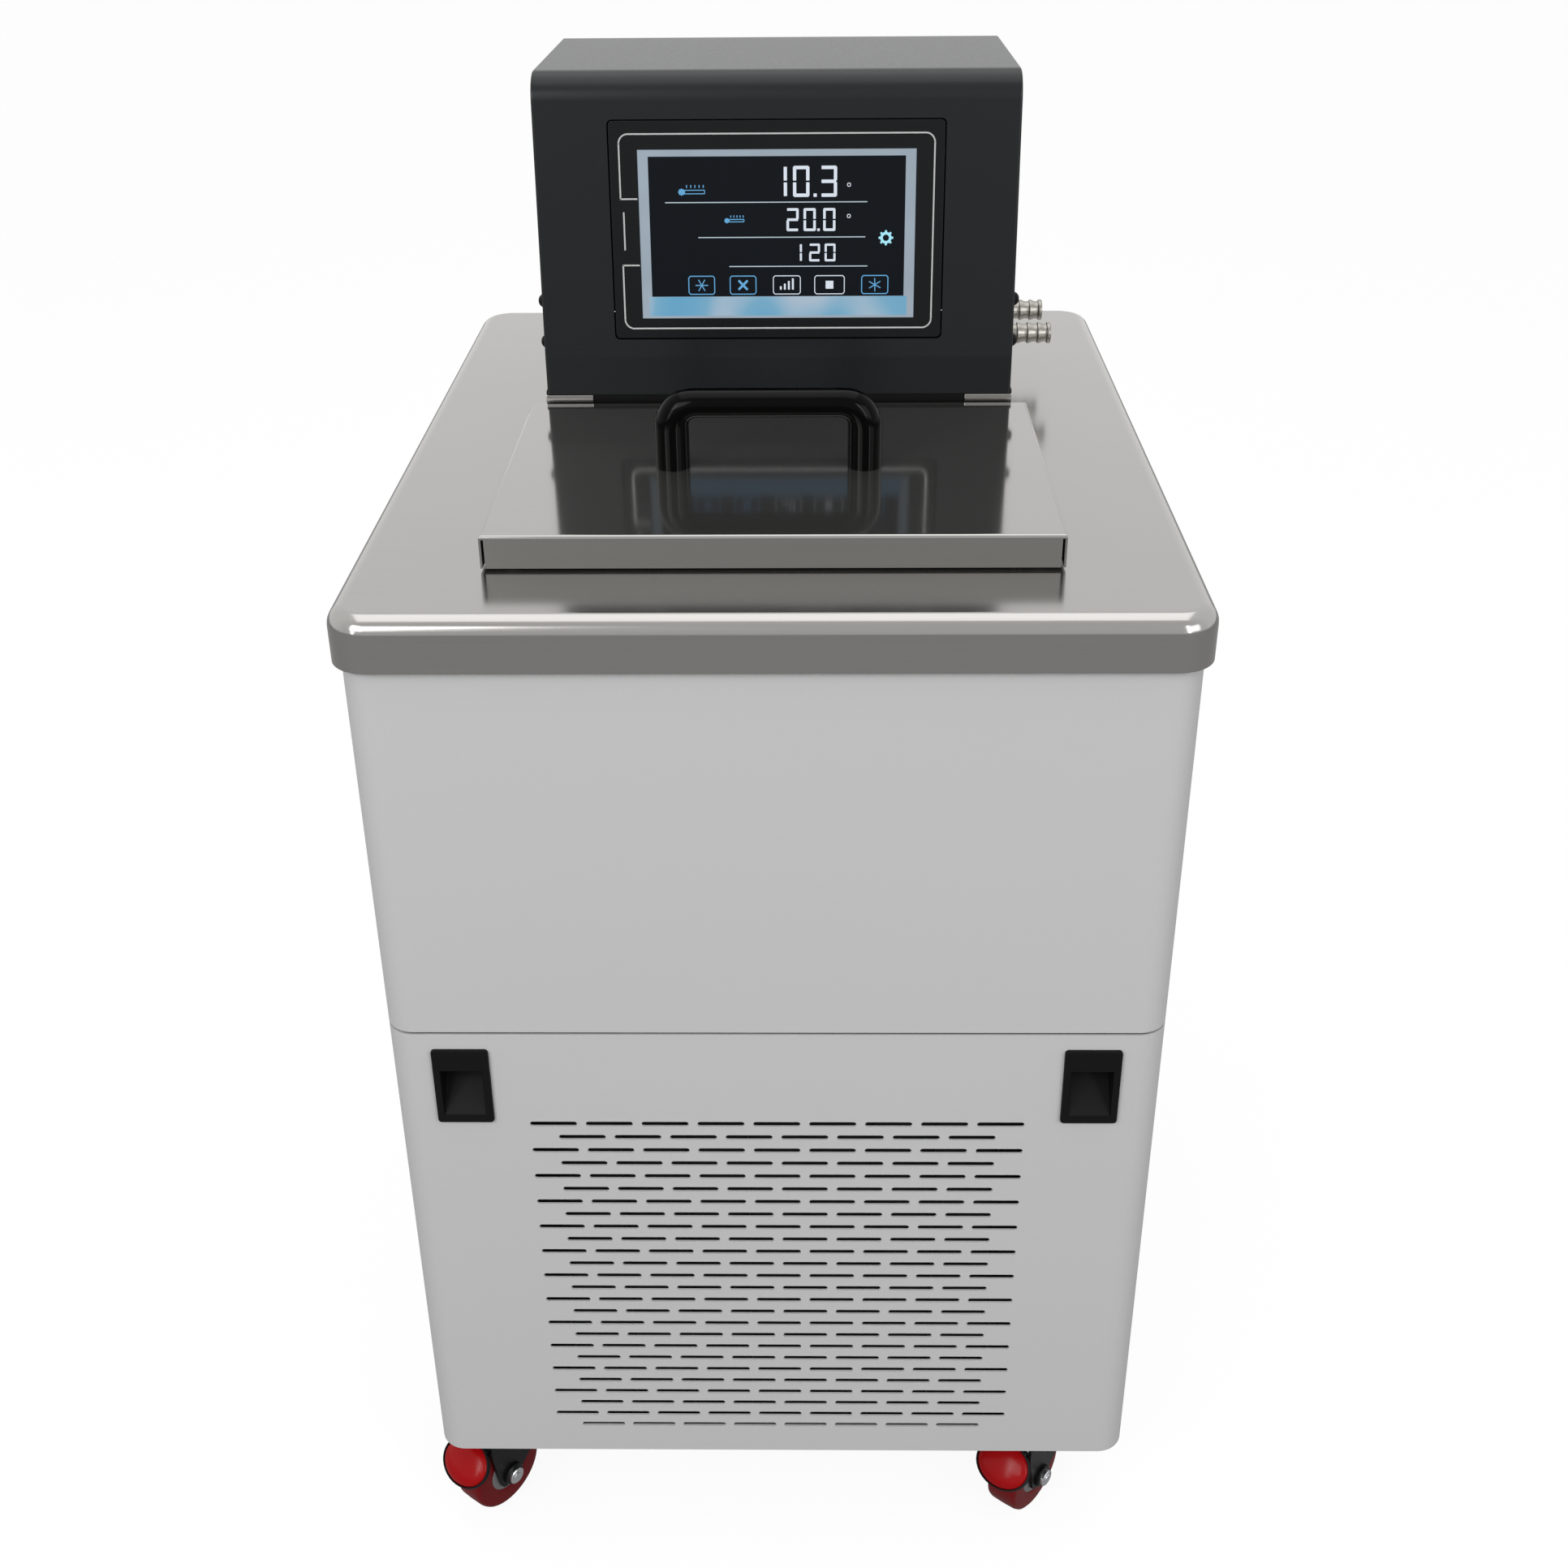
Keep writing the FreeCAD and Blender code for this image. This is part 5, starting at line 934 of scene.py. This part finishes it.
bevel(lever, lambda at, way: abs(way.y) > 0.9, 4.6, steps=8)
bevel(lever, lambda at, way: at.y > 247.2, 0.9, steps=3)
finish_piece(lever, "drain_lever_body", "lever_red", "drain_lever")
pivot = turned("drain_lever_screw", (-90, 240, 302), (0, 1, 0),
               [(0, 3.0), (7.2, 3.0), (7.3, 3.8), (8.1, 3.8), (8.8, 3.0)], 6)
finish_piece(pivot, "drain_lever_body", "lever_red", angle=20, material=FINISHES["zinc"])

# %% [markdown]
# ## Casters
# Each caster is turned the same way, as when the bath was last pushed. It is drawn once, straight, with x
# from the swivel towards the wheel, and a matrix turns a copy and sets it under each corner. The fork is
# one pressed sheet: a block is trimmed to the outline of a leg, opened between its legs and made 2 mm
# thick.

# %% Fork, axle and wheel
TRAIL_TURN = math.radians(232)
AXLE = (22, 0, 25.4)
ACROSS = (0, 1, 0)
CORNERS = {"front_left": (-160, -208), "front_right": (160, -208),
           "rear_left": (-160, 208), "rear_right": (160, 208)}


def under(corner):
    return moved(*CORNERS[corner]) @ Matrix.Rotation(TRAIL_TURN, 4, "Z")


def trim(piece, at, out):
    pick(piece, "FACE", lambda middle, way: True)
    bpy.ops.mesh.bisect(plane_co=[value * MM for value in at], plane_no=Vector(out).normalized(),
                        clear_outer=True, use_fill=True)
    leave()


fork = block("fork_sheet", (-15, -13, 18.4), (36, 13, 59))
trim(fork, (36, 0, 48), (23.6, 0, -4.5))
trim(fork, (-13, 0, 50), (-24.6, 0, -26))
bevel(fork, lambda at, way: abs(way.y) > 0.9 and at.z < 19, 3.8, steps=6)
bevel(fork, lambda at, way: abs(way.x) > 0.9 and at.z > 58.9, 2.5, steps=4)
open_faces(fork, lambda at, out: abs(out.y) < 0.2 and out.z < 0.9)
to_sheet(fork, 2)
boss = turned("axle_boss", (0, 0, 0), ACROSS, [(12.9, 7.0), (14.6, 7.0), (15.4, 6.2), (15.4, 4.6)], 28)
bolt = turned("axle_bolt", AXLE, ACROSS,
              [(-16.5, 4.4), (-15.9, 5.2), (-13.2, 5.2), (-13.2, 3), (13.2, 3), (13.2, 5.2), (17.0, 5.2),
               (17.5, 4.6), (17.5, 2.9), (18.0, 2.6)], 24)
tread = turned("tread", AXLE, ACROSS,
               [(-9.2, 13.4), (-9.8, 14.4), (-9.9, 23.0), (-9.0, 24.5), (-7.0, 25.2), (0, 25.4), (7.0, 25.2),
                (9.0, 24.5), (9.9, 23.0), (9.8, 14.4), (9.2, 13.4)], 44)
hub = turned("hub", AXLE, ACROSS,
             [(-10.0, 3.4), (-10.0, 12.0), (-9.2, 13.2), (9.2, 13.2), (10.0, 12.0), (10.0, 3.4)], 32)
for label in CORNERS:
    place = under(label)
    finish_piece(copied(fork, f"fork_sheet_{label}", place), f"swivel_{label}", "fork_black",
                 f"fork_{label}")
    for name, half_turns in (("in", 1), ("out", 0)):
        boss_place = place @ moved(*AXLE) @ turned_round(half_turns)
        finish_piece(copied(boss, f"axle_boss_{label}_{name}", boss_place), f"swivel_{label}", "fork_black")
    finish_piece(copied(bolt, f"axle_bolt_{label}", place), f"swivel_{label}", "zinc", f"axle_{label}")
    finish_piece(copied(tread, f"tread_{label}", place), f"roller_{label}", "wheel_tread",
                 f"wheel_{label}", angle=40)
    finish_piece(copied(hub, f"hub_{label}", place), f"roller_{label}", "wheel_tread", angle=30,
                 material=FINISHES["hub_grey"])
clear_away(fork, boss, bolt, tread, hub)

# %% [markdown]
# The two front casters carry a brake. Its pedal is a red dome in a black rim, tilted 40 degrees towards
# the foot that treads on it, and a short arm carries it on a pin between the legs of the fork.

# %% Brake pedals
PEDAL_TILT = math.radians(40)
PEDAL = (46, 0, 46.5)
foot_way = (math.cos(PEDAL_TILT), 0, math.sin(PEDAL_TILT))
rim = turned("pedal_rim", PEDAL, foot_way,
             [(-3.9, 9.0), (-3.9, 11.0), (-3.4, 12.8), (-2.2, 14.0), (-0.8, 14.4), (0.2, 14.2), (0.3, 13.5),
              (-0.9, 13.3)], 36)
dome = turned("pedal_dome", PEDAL, foot_way,
              [(-1.5, 13.2), (-0.2, 13.2), (0.9, 12.4), (2.0, 10.5), (2.8, 7.6), (3.3, 4.4), (3.5, 1.2)], 36)
for piece in (rim, dome):
    pick(piece, "FACE", lambda at, out: True)
    bpy.ops.transform.resize(value=(1, 1.25, 1), center_override=[value * MM for value in PEDAL])
    leave()
arm = block("pedal_arm", (30, -9, 50.6), (39.5, 9, 55.4))
bevel(arm, lambda at, way: abs(way.y) > 0.9, 2.0, steps=4)
pin = turned("pedal_pin", (33, 0, 53), ACROSS, [(-10.8, 2.2), (10.8, 2.2)], 20)
for label in ("front_left", "front_right"):
    place, body = under(label), f"brake_{label}"
    finish_piece(copied(rim, f"pedal_rim_{label}", place), body, "matte_black", f"pedal_{label}", angle=40)
    finish_piece(copied(dome, f"pedal_dome_{label}", place), body, "pedal_red", angle=60)
    finish_piece(copied(arm, f"pedal_arm_{label}", place), body, "matte_black")
    finish_piece(copied(pin, f"pedal_pin_{label}", place), body, "zinc")
clear_away(rim, dome, arm, pin)

# %% [markdown]
# ## Studio
# The photograph is cut out on white, with soft light from above and in front. The world is pale for the
# lamps' sake and white where the camera looks at it. Shiny surfaces see the white wall behind the bath,
# and the darker room on the camera's side, which is what keeps the blacks deep. The floor keeps a faint
# shadow under the casters.

# %% World and floor
world = bpy.data.worlds.new("studio")
scene.world = world
world.use_nodes = True
sky = world.node_tree
rays = sky.nodes.new("ShaderNodeLightPath")
way_out = sky.nodes.new("ShaderNodeTexCoord")
parts = sky.nodes.new("ShaderNodeSeparateXYZ")
sky.links.new(way_out.outputs["Generated"], parts.inputs[0])
behind = sky.nodes.new("ShaderNodeMapRange")
behind.interpolation_type = "SMOOTHSTEP"
for index, value in ((1, -0.7), (2, 0.2), (3, 0.72), (4, 1.0)):
    behind.inputs[index].default_value = value
sky.links.new(parts.outputs["Y"], behind.inputs[0])
tint = sky.nodes.new("ShaderNodeMix")
tint.data_type = "RGBA"
tint.inputs[6].default_value = (0.62, 0.62, 0.62, 1)
sky.links.new(rays.outputs["Is Glossy Ray"], tint.inputs[0])
sky.links.new(behind.outputs[0], tint.inputs[7])
shown = sky.nodes.new("ShaderNodeMix")
shown.data_type = "RGBA"
shown.inputs[7].default_value = (1, 1, 1, 1)
clear = sky.nodes.new("ShaderNodeMath")
clear.operation = "MAXIMUM"
sky.links.new(rays.outputs["Is Camera Ray"], clear.inputs[0])
sky.links.new(rays.outputs["Is Transmission Ray"], clear.inputs[1])
sky.links.new(clear.outputs[0], shown.inputs[0])
sky.links.new(tint.outputs[2], shown.inputs[6])
sky.links.new(shown.outputs[2], sky.nodes["Background"].inputs["Color"])

bpy.ops.object.select_all(action="DESELECT")
bpy.ops.mesh.primitive_plane_add(size=14, location=(0, 0, -0.0005))
bpy.ops.object.transform_apply()
floor = bpy.context.object
floor.name = "floor"
paper = Finish("floor_paper", Roughness=0.9, Specular_IOR_Level=0.1)
camera_ray = paper.node("ShaderNodeLightPath")
glossy_ray = Amount(paper, camera_ray.socket.node.outputs["Is Glossy Ray"])
fibre = paper.grain(400.0)
pale_paper = paper.blend(fibre, (0.66, 0.66, 0.66, 1), (0.7, 0.7, 0.7, 1))
paper.link(Base_Color=paper.blend(camera_ray, (0.12, 0.12, 0.12, 1), pale_paper))
white = paper.tree.nodes.new("ShaderNodeEmission")
white.inputs["Strength"].default_value = 1.06
both = paper.tree.nodes.new("ShaderNodeMixShader")
paper.feed(both.inputs[0], 0.87 * camera_ray + 0.26 * glossy_ray)
paper.tree.links.new(paper.shader.outputs[0], both.inputs[1])
paper.tree.links.new(white.outputs[0], both.inputs[2])
paper.tree.links.new(both.outputs[0], paper.tree.nodes["Material Output"].inputs[0])
floor.data.materials.append(paper.material)

# %% [markdown]
# Three large soft lamps do the rest. The key hangs high in front on the left, a weaker fill is on the
# right, and a wide lamp above gives the steel its bright edge. Two narrow upright strips draw the two
# thin lines of light that run down each leg of the glossy handle.

# %% Lamps
def soft_lamp(name, place, aim, size, watts):
    data = bpy.data.lights.new(name, "AREA")
    data.shape = "RECTANGLE"
    data.size, data.size_y = size
    data.energy = watts
    lamp = bpy.data.objects.new(name, data)
    scene.collection.objects.link(lamp)
    lamp.location = place
    lamp.rotation_euler = (Vector(aim) - Vector(place)).to_track_quat("-Z", "Y").to_euler()
    return lamp


soft_lamp("key", (-1.6, -2.6, 2.3), (0, 0, 0.5), (1.8, 1.6), 34)
soft_lamp("fill", (2.2, -2.2, 1.5), (0, 0, 0.5), (1.6, 1.6), 15)
soft_lamp("overhead", (0, 0.3, 2.6), (0, 0, 0.6), (2.2, 2.2), 16)
soft_lamp("strip_left", (-1.35, -1.7, 1.2), (0, -0.1, 0.65), (0.16, 1.3), 5)
soft_lamp("strip_right", (1.05, -1.75, 1.2), (0, -0.1, 0.65), (0.16, 1.3), 5)
